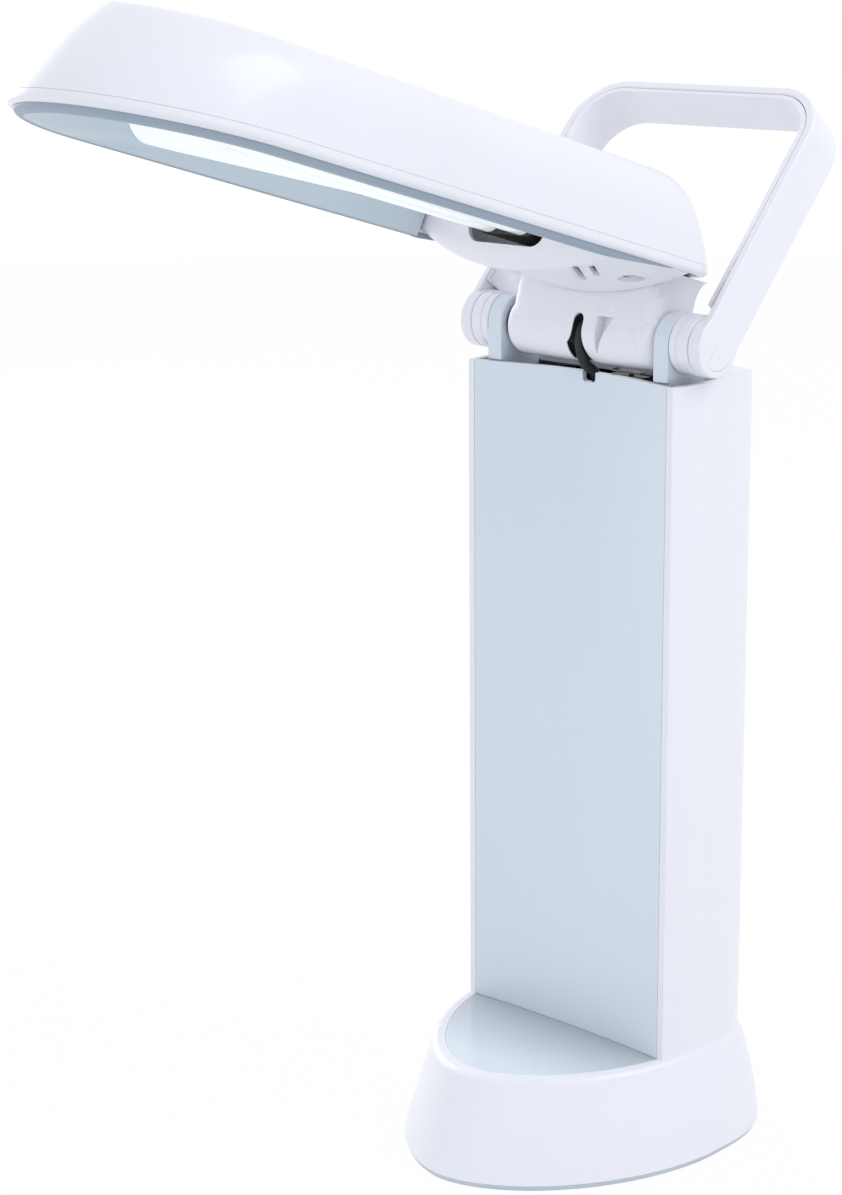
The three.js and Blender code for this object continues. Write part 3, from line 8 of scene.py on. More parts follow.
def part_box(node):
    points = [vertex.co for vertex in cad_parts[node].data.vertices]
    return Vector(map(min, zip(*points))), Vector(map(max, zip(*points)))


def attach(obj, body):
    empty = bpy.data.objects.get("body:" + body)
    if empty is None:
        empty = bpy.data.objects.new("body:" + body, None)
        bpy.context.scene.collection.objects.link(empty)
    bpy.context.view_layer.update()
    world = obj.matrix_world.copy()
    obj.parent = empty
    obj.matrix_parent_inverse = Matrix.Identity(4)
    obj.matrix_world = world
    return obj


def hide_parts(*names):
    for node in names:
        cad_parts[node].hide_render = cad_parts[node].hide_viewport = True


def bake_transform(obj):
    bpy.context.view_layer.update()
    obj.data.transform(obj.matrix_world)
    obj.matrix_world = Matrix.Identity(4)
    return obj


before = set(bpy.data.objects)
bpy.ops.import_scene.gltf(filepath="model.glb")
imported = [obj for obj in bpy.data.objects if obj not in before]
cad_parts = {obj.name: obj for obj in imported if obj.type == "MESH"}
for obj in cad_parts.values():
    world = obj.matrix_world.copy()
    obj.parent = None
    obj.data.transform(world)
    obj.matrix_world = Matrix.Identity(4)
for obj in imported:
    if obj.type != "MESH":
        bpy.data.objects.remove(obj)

bl_info = {
    "name": "Folding Task Lamp",
    "version": (1, 0, 0),
    "blender": (4, 2, 0),
    "location": "View3D > Sidebar > Task Lamp",
    "description": "Builds a folding fluorescent task lamp with a carrying handle",
    "category": "Add Mesh",
}

# Sizes in metres, as in the CAD. A seam is the gap between pieces, and an overrun is how far a tool
# passes a surface.
SEAM = 0.0003
OVERRUN = 0.002

# Foot and column
PAD_THICKNESS = 0.001
SKIRT_BOTTOM_Z = 0.0035
SKIRT_HEIGHT = 0.0394
LEDGE_Z = SKIRT_BOTTOM_Z + SKIRT_HEIGHT
PANEL_HEIGHT = 0.2708
PANEL_TOP_Z = LEDGE_Z + PANEL_HEIGHT
WALL = 0.003
BODY_HALF_WIDTH = 0.054
FRONT_REACH = 0.0724
BACK_REACH = 0.044
PANEL_SETBACK = 0.0135
FRONT_ROUNDNESS = 1.75
BACK_ROUNDNESS = 6.5
SKIRT_BACK_ROUNDNESS = 3.4
FLARE_SIDE = 0.0135
FLARE_FRONT = 0.0166
FLARE_BACK = 0.0115
SHOULDER_SIDE = 0.0012
SHOULDER_FRONT = 0.003
SHOULDER_BACK = 0.0008
SHOULDER_ROUNDING = 0.0024
RIM_ROUNDING = 0.0012
PLATE_STEP = 0.0025
PLATE_SOFT = 0.0002
GLAND_RADIUS = 0.0065
GLAND_FLANGE = 0.002
GLAND_BORE = 0.0026
GLAND_SOFT = 0.0012
SCREW_HEAD_HEIGHT = 0.0016
SCREW_SHANK_RADIUS = 0.0017
SCREW_LENGTH = 0.011
DECK_THICKNESS = 0.0025
DECK_START = 0.0285
LEDGE_THICKNESS = 0.0024
LEDGE_SHADE = 0.045

# Hinge line and panel
AXIS_Z = PANEL_TOP_Z + 0.0143
PANEL_Y = 0.00325
AXIS_Y = PANEL_Y + 0.01595
PLAN_CENTRE_Y = PANEL_Y + PANEL_SETBACK
PANEL_THICKNESS = 0.0026
PANEL_DISH_TOP = 0.0085
PANEL_DISH_BOTTOM = 0.002
NOTCH_X = 0.0038
NOTCH_WIDTH = 0.0066
NOTCH_DEPTH = 0.004

# Bracket, barrel, hubs, and the lead's slot
EAR_RADIUS = 0.0115
EAR_INNER_X = 0.0389
EAR_OUTER_X = 0.0459
BRACKET_DROP = 0.008
BRACKET_THICKNESS = 0.003
BARREL_RADIUS = 0.012
BARREL_HALF = 0.0375
BARREL_ROUNDING = 0.005
NECK_ROUNDING = 0.008
NECK_REAR_ROUNDING = 0.0016
NECK_SETBACK = 0.0001
NECK_CORE_SETBACK = 0.001
NECK_CORE_DROP = 0.0002
PIN_RADIUS = 0.003
PIN_HEAD_RADIUS = 0.0056
HUB_RADIUS = 0.0116
HUB_INNER_X = 0.0554
HUB_SOFT = 0.0006
HINGE_HALF_WIDTH = 0.061
LEAD_DIAMETER = 0.004
LEAD_X = 0.001
SLOT_WIDTH = 0.005
SLOT_TOP = 0.0056
SLOT_FLARE_LEFT = 0.0052
SLOT_FLARE_RIGHT = 0.0054
GROOVE_LEFT = 0.0102
GROOVE_RIGHT = 0.0182
GROOVE_TIP_X = 0.0104
GROOVE_TOP = 0.0052
GROOVE_TIP_DROP = 0.0089
GROOVE_DEPTH = 0.0036
FLARE_START = 0.015
FLARE_SPREAD = 0.0045
FLANGE_GAP = 0.001
FLANGE_THICKNESS = 0.003
FLANGE_HALF = 0.04
FLANGE_REACH = 0.0284
FLANGE_REAR = 0.004

# Head, measured from the hinge line along its rim
HEAD_TILT = math.radians(16)
RIM_ABOVE_AXIS = 0.025
HEAD_HALF_WIDTH = 0.0544
HEAD_REACH = 0.283
HEAD_REAR = 0.005
HEAD_HEIGHT = 0.0363
HEAD_WALL = 0.0024
NOSE_LENGTH = 0.057
NOSE_SETBACK = 0.0198
NOSE_LEAN = 1.75
TAIL_LENGTH = 0.029
TAIL_SETBACK = 0.0253
TAIL_LEAN = 1.27
TAIL_ROUNDNESS = 5
SIDE_ROUNDNESS = 5.15
BEZEL_HEIGHT = 0.004
BEZEL_THICKNESS = 0.0035
BEZEL_ROUNDING = 0.0024
BEZEL_CHAMFER = 0.0004

# Reflector, lamp, lining and cover
REFLECTOR_HALF_WIDTH = 0.044
REFLECTOR_REACH = 0.236
REFLECTOR_NOSE = 0.05
REFLECTOR_CORNERS = 2.2
REFLECTOR_LIFT = 0.012
REFLECTOR_LIFT_START = 0.203
REFLECTOR_SKIN = 0.0014
REFLECTOR_NOSE_SHARE = 0.7
REFLECTOR_ROUNDNESS = 3
REFLECTOR_EDGE = 0.0003
REFLECTOR_RISE = 0.0076
REFLECTOR_TOP = 0.029
TUBE_RADIUS = 0.006
TUBE_SPACING = 0.016
TUBE_UP = 0.0325
TUBE_TIP = 0.207
LINING_INSET = 0.0026
LINING_KEEL = 0.0064
LINING_NARROW_KEEL = 0.0034
LINING_DROP = 0.0026
LINING_WALL_SHARE = 0.85
LIP_TAPER = 0.006
LINING_SKIN = 0.0012
LINING_REAR = 0.024
BRIDGE_SETBACK = 0.009
BRIDGE_RADIUS = 0.004
LAMP_BASE_FRONT = 0.062
LAMP_BASE_LENGTH = 0.033
LAMP_BASE_WIDTH = 0.032
LAMP_BASE_HEIGHT = 0.013
# Its groove from the rear and its rounded edge from the front, as (distance, inset) pairs
LAMP_BASE_GROOVE = ((0.012, 0), (0.0125, 0.0006), (0.0145, 0.0006), (0.015, 0))
LAMP_BASE_EDGE = ((0.0012, 0), (0.0004, 0.0004), (0, 0.0012))
COVER_FRONT = 0.062
COVER_BOW = 0.006
COVER_DROP = 0.0111
COVER_HALF_WIDTH = 0.05
COVER_TOP = 0.014
COVER_SKIN = 0.002
COVER_ROUNDING = 0.0065
WINDOW_WIDTH = 0.038
WINDOW_SILL = 0.0024
WINDOW_ROUNDING = 0.006
NECK_SCREW_X = 0.0345
NECK_SCREW_ALONG = 0.0255
NECK_SCREW_RADIUS = 0.0032
POST_RADIUS = 0.0068
POST_WALL = 0.0016
HOOK_WIDTH = 0.0022
HOOK_LENGTH = 0.021
HOOK_TURN = math.radians(28)
HOOK_X = 0.0256
HOOK_ALONG = 0.045
HOOK_PITCH = 0.006
HOOK_STAGGER = 0.001
HOOK_SHARES = (1, 0.7)

# Handle
HANDLE_LEAN = math.radians(41.4)
HANDLE_REACH = 0.113
STRAP_WIDTH = 0.021
STRAP_OUTER = 0.0032
STRAP_SEAM = 0.0002
STRAP_THICKNESS = 0.0056
HANDLE_CORNER = 0.022
STRAP_BEVEL = 0.0007
STRAP_SETBACK = 0.00002
CAP_RADIUS = 0.009
CAP_THICKNESS = 0.0014
CAP_CHORD = 0.0008
PRY_HALF = 0.0011
PRY_BITE = 0.0004
WELL_DEPTH = 0.003
HUB_TOOL_LENGTH = 0.01

# Looks, floor and camera
# Painted light: the reflector's own glow, as a share of the tube's glow.
REFLECTOR_PAINTED_GLOW_SHARE = 0.9
FLOOR_RADIUS = 3
FLOOR_WHITE_SHARE = 0.975
CAMERA_PLACE = (0.6703, -0.7634, 0.4822)
CAMERA_AZIMUTH = math.radians(44.38)
CAMERA_ELEVATION = math.radians(14.21)
CAMERA_ROLL = math.radians(-0.45)
CAMERA_LENS = 80.1

HEAD_PLACE = Matrix.Translation((0, AXIS_Y, AXIS_Z)) @ Matrix.Rotation(-HEAD_TILT, 4, "X")
HANDLE_PLACE = Matrix.Translation((0, AXIS_Y, AXIS_Z)) @ Matrix.Rotation(-HANDLE_LEAN, 4, "X")
HINGE_PLACE = Matrix.Translation((0, AXIS_Y, AXIS_Z))


# Mesh helpers

def loop_edges(bm, loop):
    count = len(loop)
    return [bm.edges.get((loop[i], loop[(i + 1) % count])) for i in range(count)]


def start_loop(bm, points):
    """A closed loop of edges laid on the points."""
    loop = bmesh.ops.create_circle(bm, cap_ends=False, radius=1, segments=len(points))["verts"]
    for vert, point in zip(loop, points):
        vert.co = point
    return loop


def draw_on(bm, loop, points):
    """Extrudes a loop and lays the new one on the points."""
    made = bmesh.ops.extrude_edge_only(bm, edges=loop_edges(bm, loop))["geom"]
    fresh = {part for part in made if isinstance(part, bmesh.types.BMVert)}
    after = []
    for vert in loop:
        others = [edge.other_vert(vert) for edge in vert.link_edges]
        after.append(next(other for other in others if other in fresh))
    for vert, point in zip(after, points):
        vert.co = point
    return after


def loft(rings, bm=None, caps=True, closed=False):
    """A skin through rings of equal count, capped at both ends or closed on itself."""
    bm = bm or bmesh.new()
    first = loop = start_loop(bm, rings[0])
    for ring in rings[1:]:
        loop = draw_on(bm, loop, ring)
    if closed:
        last = draw_on(bm, loop, rings[0])
        bmesh.ops.remove_doubles(bm, verts=first + last, dist=1e-7)
    elif caps:
        bmesh.ops.contextual_create(bm, geom=loop_edges(bm, first))
        bmesh.ops.contextual_create(bm, geom=loop_edges(bm, loop))
    return bm


def lathe(profile, steps=96, bm=None):
    """A profile of (x, radius) pairs spun about X. It starts and ends on the axis or closes on itself."""
    bm = bm or bmesh.new()
    verts = [bm.verts.new((x, 0, radius)) for x, radius in profile]
    edges = [bm.edges.new(pair) for pair in zip(verts, verts[1:])]
    bmesh.ops.spin(bm, geom=verts + edges, cent=(0, 0, 0), axis=(1, 0, 0), angle=2 * math.pi,
                   steps=steps, use_merge=True)
    bmesh.ops.remove_doubles(bm, verts=bm.verts, dist=1e-7)
    return bm


def block(low, high, bm=None):
    """A box between two corners, as a start for cuts."""
    bm = bm or bmesh.new()
    centre = (Vector(low) + Vector(high)) / 2
    size = Vector(high) - Vector(low)
    bmesh.ops.create_cube(bm, size=1, matrix=Matrix.Translation(centre) @ Matrix.Diagonal((*size, 1)))
    return bm


def extruded(points, offset, bm=None):
    """A flat outline drawn out by an offset."""
    return loft([points, [Vector(point) + Vector(offset) for point in points]], bm)


def arc(centre, radius, start, end, steps):
    """Points of an arc in a plane, as (a, b) pairs."""
    turns = [math.radians(start + (end - start) * step / steps) for step in range(steps + 1)]
    return [(centre[0] + radius * math.cos(turn), centre[1] + radius * math.sin(turn)) for turn in turns]


def quarter(steps):
    """Turns of a quarter circle, in even steps."""
    return [math.pi / 2 * step / steps for step in range(steps + 1)]


def rounded_rect(half, low, high, radius, steps=10):
    """Outline of a rectangle with round corners, as (a, b) pairs."""
    corners = [((half - radius, low + radius), -90), ((half - radius, high - radius), 0),
               ((-half + radius, high - radius), 90), ((-half + radius, low + radius), 180)]
    return [point for centre, start in corners for point in arc(centre, radius, start, start + 90, steps)]


def moved(bm, place):
    bmesh.ops.transform(bm, matrix=place, verts=bm.verts)
    return bm


def on_side(bm, side):
    """A shape made for the right, mirrored where it is wanted on the left."""
    if side < 0:
        bmesh.ops.scale(bm, vec=(-1, 1, 1), verts=bm.verts)
        bmesh.ops.reverse_faces(bm, faces=bm.faces)
    return bm


def outward(bm):
    bmesh.ops.recalc_face_normals(bm, faces=bm.faces)
    return bm


def as_object(name, bm):
    mesh = bpy.data.meshes.new(name)
    outward(bm).to_mesh(mesh)
    bm.free()
    obj = bpy.data.objects.new(name, mesh)
    bpy.context.scene.collection.objects.link(obj)
    return obj


def combine(body, tools, operation):
    """A body with tools cut out of it (DIFFERENCE), joined to it (UNION) or kept within them (INTERSECT)."""
    holder = as_object("holder", body)
    helpers = [as_object("helper", tool) for tool in tools]
    for helper in helpers:
        modifier = holder.modifiers.new("combine", "BOOLEAN")
        modifier.object = helper
        modifier.operation = operation
        modifier.solver = "EXACT"
    bpy.context.view_layer.update()
    shaped = holder.evaluated_get(bpy.context.evaluated_depsgraph_get()).to_mesh()
    bm = bmesh.new()
    bm.from_mesh(shaped)
    bmesh.ops.remove_doubles(bm, verts=bm.verts, dist=1e-6)
    for obj in [holder, *helpers]:
        mesh = obj.data
        bpy.data.objects.remove(obj)
        bpy.data.meshes.remove(mesh)
    return bm


def cut(body, *tools):
    return combine(body, tools, "DIFFERENCE")


def join(body, *tools):
    return combine(body, tools, "UNION")


def together(*parts):
    """One bmesh that holds several closed parts side by side."""
    bm = bmesh.new()
    for part in parts:
        mesh = bpy.data.meshes.new("part")
        outward(part).to_mesh(mesh)
        part.free()
        bm.from_mesh(mesh)
        bpy.data.meshes.remove(mesh)
    return bm


def piece(name, bm, look, body, nodes, bevel=0.0, segments=3):
    """The finished object of a piece, with softened edges, on its body and in place of its CAD nodes."""
    obj = as_object(name, bm)
    obj.data.shade_smooth()
    obj.data.materials.append(finishes()[look])
    if bevel:
        modifier = obj.modifiers.new("soft edges", "BEVEL")
        modifier.width = bevel
        modifier.segments = segments
        modifier.limit_method = "ANGLE"
        modifier.angle_limit = math.radians(38)
        modifier.miter_outer = "MITER_ARC"
    modifier = obj.modifiers.new("even shading", "WEIGHTED_NORMAL")
    modifier.weight = 60
    if body:
        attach(obj, body)
    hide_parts(*nodes)
    return obj


def signed_power(value, power):
    return math.copysign(abs(value) ** power, value)


# Materials

def new_material(name):
    material = bpy.data.materials.new(name)
    material.use_nodes = True
    return material


def add_node(tree, kind, **inputs):
    """A new shader node with some inputs set. An underscore stands for the space in an input's name."""
    node = tree.nodes.new("ShaderNode" + kind)
    for name, value in inputs.items():
        node.inputs[name.replace("_", " ")].default_value = value
    return node


def shader_of(material):
    return material.node_tree.nodes["Principled BSDF"]


def object_noise(material, scale, detail=2.0, stretch=(1, 1, 1)):
    """Noise on Object coordinates, drawn out along an axis by stretch."""
    tree = material.node_tree
    place = add_node(tree, "TexCoord")
    mapping = add_node(tree, "Mapping", Scale=stretch)
    noise = add_node(tree, "TexNoise", Scale=scale, Detail=detail)
    tree.links.new(place.outputs["Object"], mapping.inputs["Vector"])
    tree.links.new(mapping.outputs["Vector"], noise.inputs["Vector"])
    return noise.outputs["Fac"]


def tint_by(material, factor, dark, light, low=0.3, high=0.7):
    tree = material.node_tree
    ramp = add_node(tree, "ValToRGB")
    for element, position, colour in zip(ramp.color_ramp.elements, (low, high), (dark, light)):
        element.position = position
        element.color = (*colour, 1)
    tree.links.new(factor, ramp.inputs["Fac"])
    tree.links.new(ramp.outputs["Color"], shader_of(material).inputs["Base Color"])


def roughness_by(material, factor, low, high):
    tree = material.node_tree
    spread = add_node(tree, "MapRange", To_Min=low, To_Max=high)
    tree.links.new(factor, spread.inputs["Value"])
    tree.links.new(spread.outputs["Result"], shader_of(material).inputs["Roughness"])


def bump_by(material, *layers):
    """Stacks bumps, each a (factor, height) pair, on the shader's normal."""
    tree = material.node_tree
    normal = None
    for factor, height in layers:
        bump = add_node(tree, "Bump", Strength=1.0, Distance=height)
        tree.links.new(factor, bump.inputs["Height"])
        if normal:
            tree.links.new(normal, bump.inputs["Normal"])
        normal = bump.outputs["Normal"]
    tree.links.new(normal, shader_of(material).inputs["Normal"])


def moulded_plastic(name, dark, light, roughness, spread, grain, grain_height, flow_height=0.0, coat=0.0):
    """Moulded plastic: a faint flow in its colour and gloss, a fine grain and slight sink waves."""
    material = new_material(name)
    shader = shader_of(material)
    shader.inputs["IOR"].default_value = 1.5
    shader.inputs["Coat Weight"].default_value = coat
    shader.inputs["Coat Roughness"].default_value = 0.08
    flow = object_noise(material, 14, 3, (1, 1, 0.35))
    tint_by(material, flow, dark, light)
    roughness_by(material, flow, roughness - spread, roughness + spread)
    layers = [(object_noise(material, grain, 2), grain_height)]
    if flow_height:
        layers.append((object_noise(material, 22, 1, (1, 1, 0.5)), flow_height))
    bump_by(material, *layers)
    return material


def brushed_metal(name, dark, light, roughness, stretch, grain=900, height=0.00001):
    """Metal with fine lines along one axis."""
    material = new_material(name)
    shader_of(material).inputs["Metallic"].default_value = 1.0
    lines = object_noise(material, grain, 3, stretch)
    tint_by(material, lines, dark, light)
    roughness_by(material, lines, roughness * 0.7, roughness * 1.3)
    bump_by(material, (lines, height))
    return material


def lit(material, colour, strength):
    """Gives a material a glow of its own."""
    shader = shader_of(material)
    shader.inputs["Emission Color"].default_value = (*colour, 1)
    shader.inputs["Emission Strength"].default_value = strength
    return material


def phosphor_glass(name, glow):
    """Glass tube with a white coat inside, a little denser in places."""
    material = moulded_plastic(name, (0.86, 0.89, 0.87), (0.93, 0.95, 0.93), 0.12, 0.03, 300, 0.000004,
                               coat=0.6)
    shader_of(material).inputs["Coat Roughness"].default_value = 0.03
    return lit(material, (0.97, 1.0, 0.98), glow)


def ledge_grey_painted_shade(name, colour):
    """The panel's grey, with painted shade: darker in the corner under the panel."""
    material = moulded_plastic(name, colour, colour, 0.16, 0.03, 2600, 0.000002, 0.00004, 0.35)
    tree = material.node_tree
    place = add_node(tree, "TexCoord")
    axes = add_node(tree, "SeparateXYZ")
    spread = add_node(tree, "MapRange", From_Min=PANEL_Y - LEDGE_SHADE, From_Max=PANEL_Y + PANEL_DISH_BOTTOM)
    tree.links.new(place.outputs["Object"], axes.inputs["Vector"])
    tree.links.new(axes.outputs["Y"], spread.inputs["Value"])
    # Painted shade: towards the panel the grey darkens to 0.62 of its light.
    tint_by(material, spread.outputs["Result"], colour, shade(colour, 0.62), 0, 1)
    return material


def copper_winding(name):
    """Enamelled wire in close turns."""
    material = new_material(name)
    shader_of(material).inputs["Metallic"].default_value = 0.7
    tree = material.node_tree
    place = add_node(tree, "TexCoord")
    turns = add_node(tree, "TexWave", Scale=240, Distortion=0.6)
    turns.wave_type = "BANDS"
    turns.bands_direction = "Z"
    tree.links.new(place.outputs["Object"], turns.inputs["Vector"])
    tint_by(material, turns.outputs["Fac"], (0.16, 0.05, 0.02), (0.62, 0.27, 0.12), 0.1, 0.8)
    roughness_by(material, turns.outputs["Fac"], 0.25, 0.5)
    bump_by(material, (turns.outputs["Fac"], 0.0002))
    return material


def shade(colour, share):
    """A colour made darker, as a share of its light."""
    return tuple(share * value for value in colour)


MATERIALS = {}


def finishes():
    """The lamp's finishes, made once and kept by name."""
    if MATERIALS:
        return MATERIALS
    look = bpy.context.scene.task_lamp_finish
    white, grey, rim = tuple(look.shell_colour), tuple(look.panel_colour), tuple(look.rim_colour)
    lining, lip = tuple(look.lining_colour), tuple(look.lip_shade_colour)
    grain = look.grain_height
    # Look, material, dark, light, roughness, its spread, grain scale and height, sink waves, coat
    mouldings = (
        ("white", "white_shell_gloss", shade(white, 0.975), white, 0.28, 0.03, 2600, grain, 0.00004, 0.15),
        ("panel", "grey_panel_gloss", shade(grey, 0.965), grey, 0.16, 0.03, 2600, grain / 2, 0.00006, 0.35),
        ("lining", "grey_lining_satin", shade(lining, 0.97), lining, 0.35, 0.04, 2600, grain, 0.00004),
        # Painted shade: the lip is the lining's grey plastic, coloured darker for the shade on its underside.
        ("lip", "grey_lip_painted_shade", shade(lip, 0.95), lip, 0.45, 0.04, 2600, grain),
        ("rim", "grey_foot_rim", shade(rim, 0.93), rim, 0.4, 0.05, 1800, 2 * grain),
        # Painted shade: the bracket floor is dark navy for the shadow in the column's top under the barrel.
        ("shaded", "bracket_floor_painted_shade", (0.035, 0.055, 0.09), (0.05, 0.075, 0.12),
         0.7, 0.05, 1800, 2 * grain),
        ("black", "black_moulding", (0.012, 0.014, 0.016), (0.022, 0.025, 0.028),
         0.45, 0.06, 2000, 3 * grain),
        ("lead", "lead_sheath", (0.006, 0.009, 0.011), (0.012, 0.016, 0.02), 0.6, 0.06, 1500, 4 * grain),
        ("rubber", "pad_rubber", (0.03, 0.032, 0.034), (0.05, 0.052, 0.055), 0.85, 0.05, 900, 12 * grain),
        ("reflector", "white_reflector_painted_glow", (0.95, 0.96, 0.965), (0.98, 0.985, 0.99),
         0.3, 0.05, 1200, grain),
    )
    for key, *numbers in mouldings:
        MATERIALS[key] = moulded_plastic(*numbers)
    # Painted light: the reflector glows by a share of the tube's glow, for the tube's light on it.
    lit(MATERIALS["reflector"], (1, 1, 1), REFLECTOR_PAINTED_GLOW_SHARE * look.tube_glow)
    MATERIALS["ledge"] = ledge_grey_painted_shade("grey_ledge_painted_shade", grey)
    MATERIALS["tube"] = phosphor_glass("phosphor_tube", look.tube_glow)
    MATERIALS["steel"] = brushed_metal("bright_steel", (0.5, 0.51, 0.52), (0.72, 0.73, 0.74),
                                       0.28, (0.05, 1, 1))
    MATERIALS["iron"] = brushed_metal("stacked_iron", (0.16, 0.16, 0.17), (0.34, 0.34, 0.35),
                                      0.45, (0.02, 1, 0.02), 1500, 0.00008)
    MATERIALS["copper"] = copper_winding("copper_turns")
    return MATERIALS


# Outlines

def plan_point(turn, flare, inset, z, shoulder):
    """A place on the outline of the column (flare 0) or of its skirt's lower edge (flare 1)."""
    edge = shoulder * (1 - flare)
    front = math.sin(turn) < 0
    roundness = FRONT_ROUNDNESS if front else BACK_ROUNDNESS + (SKIRT_BACK_ROUNDNESS - BACK_ROUNDNESS) * flare
    if front:
        reach = FRONT_REACH + flare * FLARE_FRONT + edge * SHOULDER_FRONT
    else:
        reach = BACK_REACH + flare * FLARE_BACK + edge * SHOULDER_BACK
    half = BODY_HALF_WIDTH + flare * FLARE_SIDE + edge * SHOULDER_SIDE
    x = (half - inset) * signed_power(math.cos(turn), 2 / roundness)
    y = PLAN_CENTRE_Y + (reach - inset) * signed_power(math.sin(turn), 2 / roundness)
    return Vector((x, y, z))


def plan_ring(flare, inset, z, shoulder=0.0, steps=240):
    """Outline of the column and its flared skirt, seen from above."""
    return [plan_point(2 * math.pi * step / steps, flare, inset, z, shoulder) for step in range(steps)]


def behind_front(inset, y, z, steps=160):
    """The part of the column's outline that lies behind a plane of constant Y, from right to left."""
    share = (PLAN_CENTRE_Y - y) / (FRONT_REACH - inset)
    start = math.asin(share ** (FRONT_ROUNDNESS / 2))
    span = math.pi + 2 * start
    return [plan_point(-start + span * step / steps, 0, inset, z, 0) for step in range(steps + 1)]


def head_ring(level, inset, height=HEAD_HEIGHT, nose_steps=72, tail_steps=48, side_steps=16):
    """Outline of the head at a level above the rim plane, drawn in by an inset."""
    share = level / height
    draw = (1 - share ** SIDE_ROUNDNESS) ** (1 / SIDE_ROUNDNESS)
    half = (HEAD_HALF_WIDTH - inset) * draw
    nose_end = HEAD_REACH - inset - NOSE_SETBACK * share ** NOSE_LEAN
    tail_end = -HEAD_REAR + inset + TAIL_SETBACK * share ** TAIL_LEAN
    nose = (NOSE_LENGTH - inset) * draw
    tail = (TAIL_LENGTH - inset) * draw
    side_start = nose_end - nose
    side_end = tail_end + tail
    up = RIM_ABOVE_AXIS + level
    ring = []
    for step in range(nose_steps + 1):
        turn = math.pi * (step / nose_steps - 0.5)
        ring.append((half * math.sin(turn), side_start + nose * math.cos(turn)))
    for step in range(1, side_steps):
        ring.append((half, side_start + (side_end - side_start) * step / side_steps))
    for step in range(tail_steps + 1):
        turn = math.pi * (0.5 - step / tail_steps)
        ring.append((half * signed_power(math.sin(turn), 2 / TAIL_ROUNDNESS),
                     side_end - tail * signed_power(math.cos(turn), 2 / TAIL_ROUNDNESS)))
    for step in range(1, side_steps):
        ring.append((-half, side_end + (side_start - side_end) * step / side_steps))
    return [Vector((x, -along, up)) for x, along in ring]


def reflector_edge(along):
    """Level of the reflector's lower edge: it climbs towards the lamp base, and arches across the nose."""
    share = min(max((along - REFLECTOR_LIFT_START) / (REFLECTOR_REACH - REFLECTOR_LIFT_START), 0), 1)
    climb = REFLECTOR_RISE * (REFLECTOR_REACH - along) / (REFLECTOR_REACH - COVER_FRONT)
    return REFLECTOR_EDGE + climb + REFLECTOR_LIFT * share * share * (3 - 2 * share)


def reflector_ring(share, inset, nose_steps=64, side_steps=12):
    """Outline of the reflector at a share of its height; its lower edge climbs towards the lamp base."""
    draw = (1 - share ** REFLECTOR_ROUNDNESS) ** (1 / REFLECTOR_ROUNDNESS)
    half = (REFLECTOR_HALF_WIDTH - inset) * draw
    loss = (1 - REFLECTOR_NOSE_SHARE) * (1 - draw)
    nose = (REFLECTOR_NOSE - inset) * (1 - loss)
    shoulder = REFLECTOR_REACH - REFLECTOR_NOSE * (1 + loss)
    rear = COVER_FRONT + COVER_SKIN
    path = []
    for step in range(nose_steps + 1):
        turn = math.pi * (step / nose_steps - 0.5)
        path.append((half * signed_power(math.sin(turn), 2 / REFLECTOR_CORNERS),
                     shoulder + nose * signed_power(math.cos(turn), 2 / REFLECTOR_CORNERS)))
    path += [(half, shoulder + (rear - shoulder) * step / side_steps) for step in range(1, side_steps + 1)]
    path += [(-half, shoulder + (rear - shoulder) * step / side_steps) for step in range(side_steps, 0, -1)]
    ring = []
    for x, along in path:
        lower = reflector_edge(along)
        top = REFLECTOR_TOP - inset
        ring.append(Vector((x, -along, RIM_ABOVE_AXIS + lower + (top - lower) * share)))
    return ring


def panel_depth(x, z):
    """Depth of the panel's hollow behind its front plane."""
    half = panel_half()
    deep = PANEL_DISH_BOTTOM + (PANEL_DISH_TOP - PANEL_DISH_BOTTOM) * (z - LEDGE_Z) / PANEL_HEIGHT
    return deep * (1 - (x / half) ** 2)


def panel_half():
    depth = PANEL_SETBACK / (FRONT_REACH - WALL)
    return (BODY_HALF_WIDTH - WALL) * (1 - depth ** FRONT_ROUNDNESS) ** (1 / FRONT_ROUNDNESS) - SEAM / 4


def cover_underside(x):
    return RIM_ABOVE_AXIS - COVER_DROP + COVER_DROP * (x / COVER_HALF_WIDTH) ** 2


def cover_section(x, skin, steps=10):
    """Section of the socket cover at one x: along the underside, round the chin and up the wall."""
    under = cover_underside(x) + skin
    wall = COVER_FRONT - COVER_BOW * (x / COVER_HALF_WIDTH) ** 2 - skin
    corner = COVER_ROUNDING - skin
    start = BARREL_RADIUS + SEAM
    section = [Vector((x, -start, under)), Vector((x, -(start + wall - corner) / 2, under))]
    for turn in quarter(steps):
        along = wall - corner + corner * math.sin(turn)
        section.append(Vector((x, -along, under + corner * (1 - math.cos(turn)))))
    section.append(Vector((x, -wall, RIM_ABOVE_AXIS + COVER_TOP)))
    return section


def disc_profile(inner, outer, radius, soft, steps=4):
    """Half section of a disc between two X with rounded edges, from axis to axis."""
    turns = quarter(steps)
    left = [(inner + soft - soft * math.cos(turn), radius - soft + soft * math.sin(turn)) for turn in turns]
    right = [(outer - soft + soft * math.sin(turn), radius - soft + soft * math.cos(turn)) for turn in turns]
    return [(inner, 0), *left, *right, (outer, 0)]


# Pieces of the column

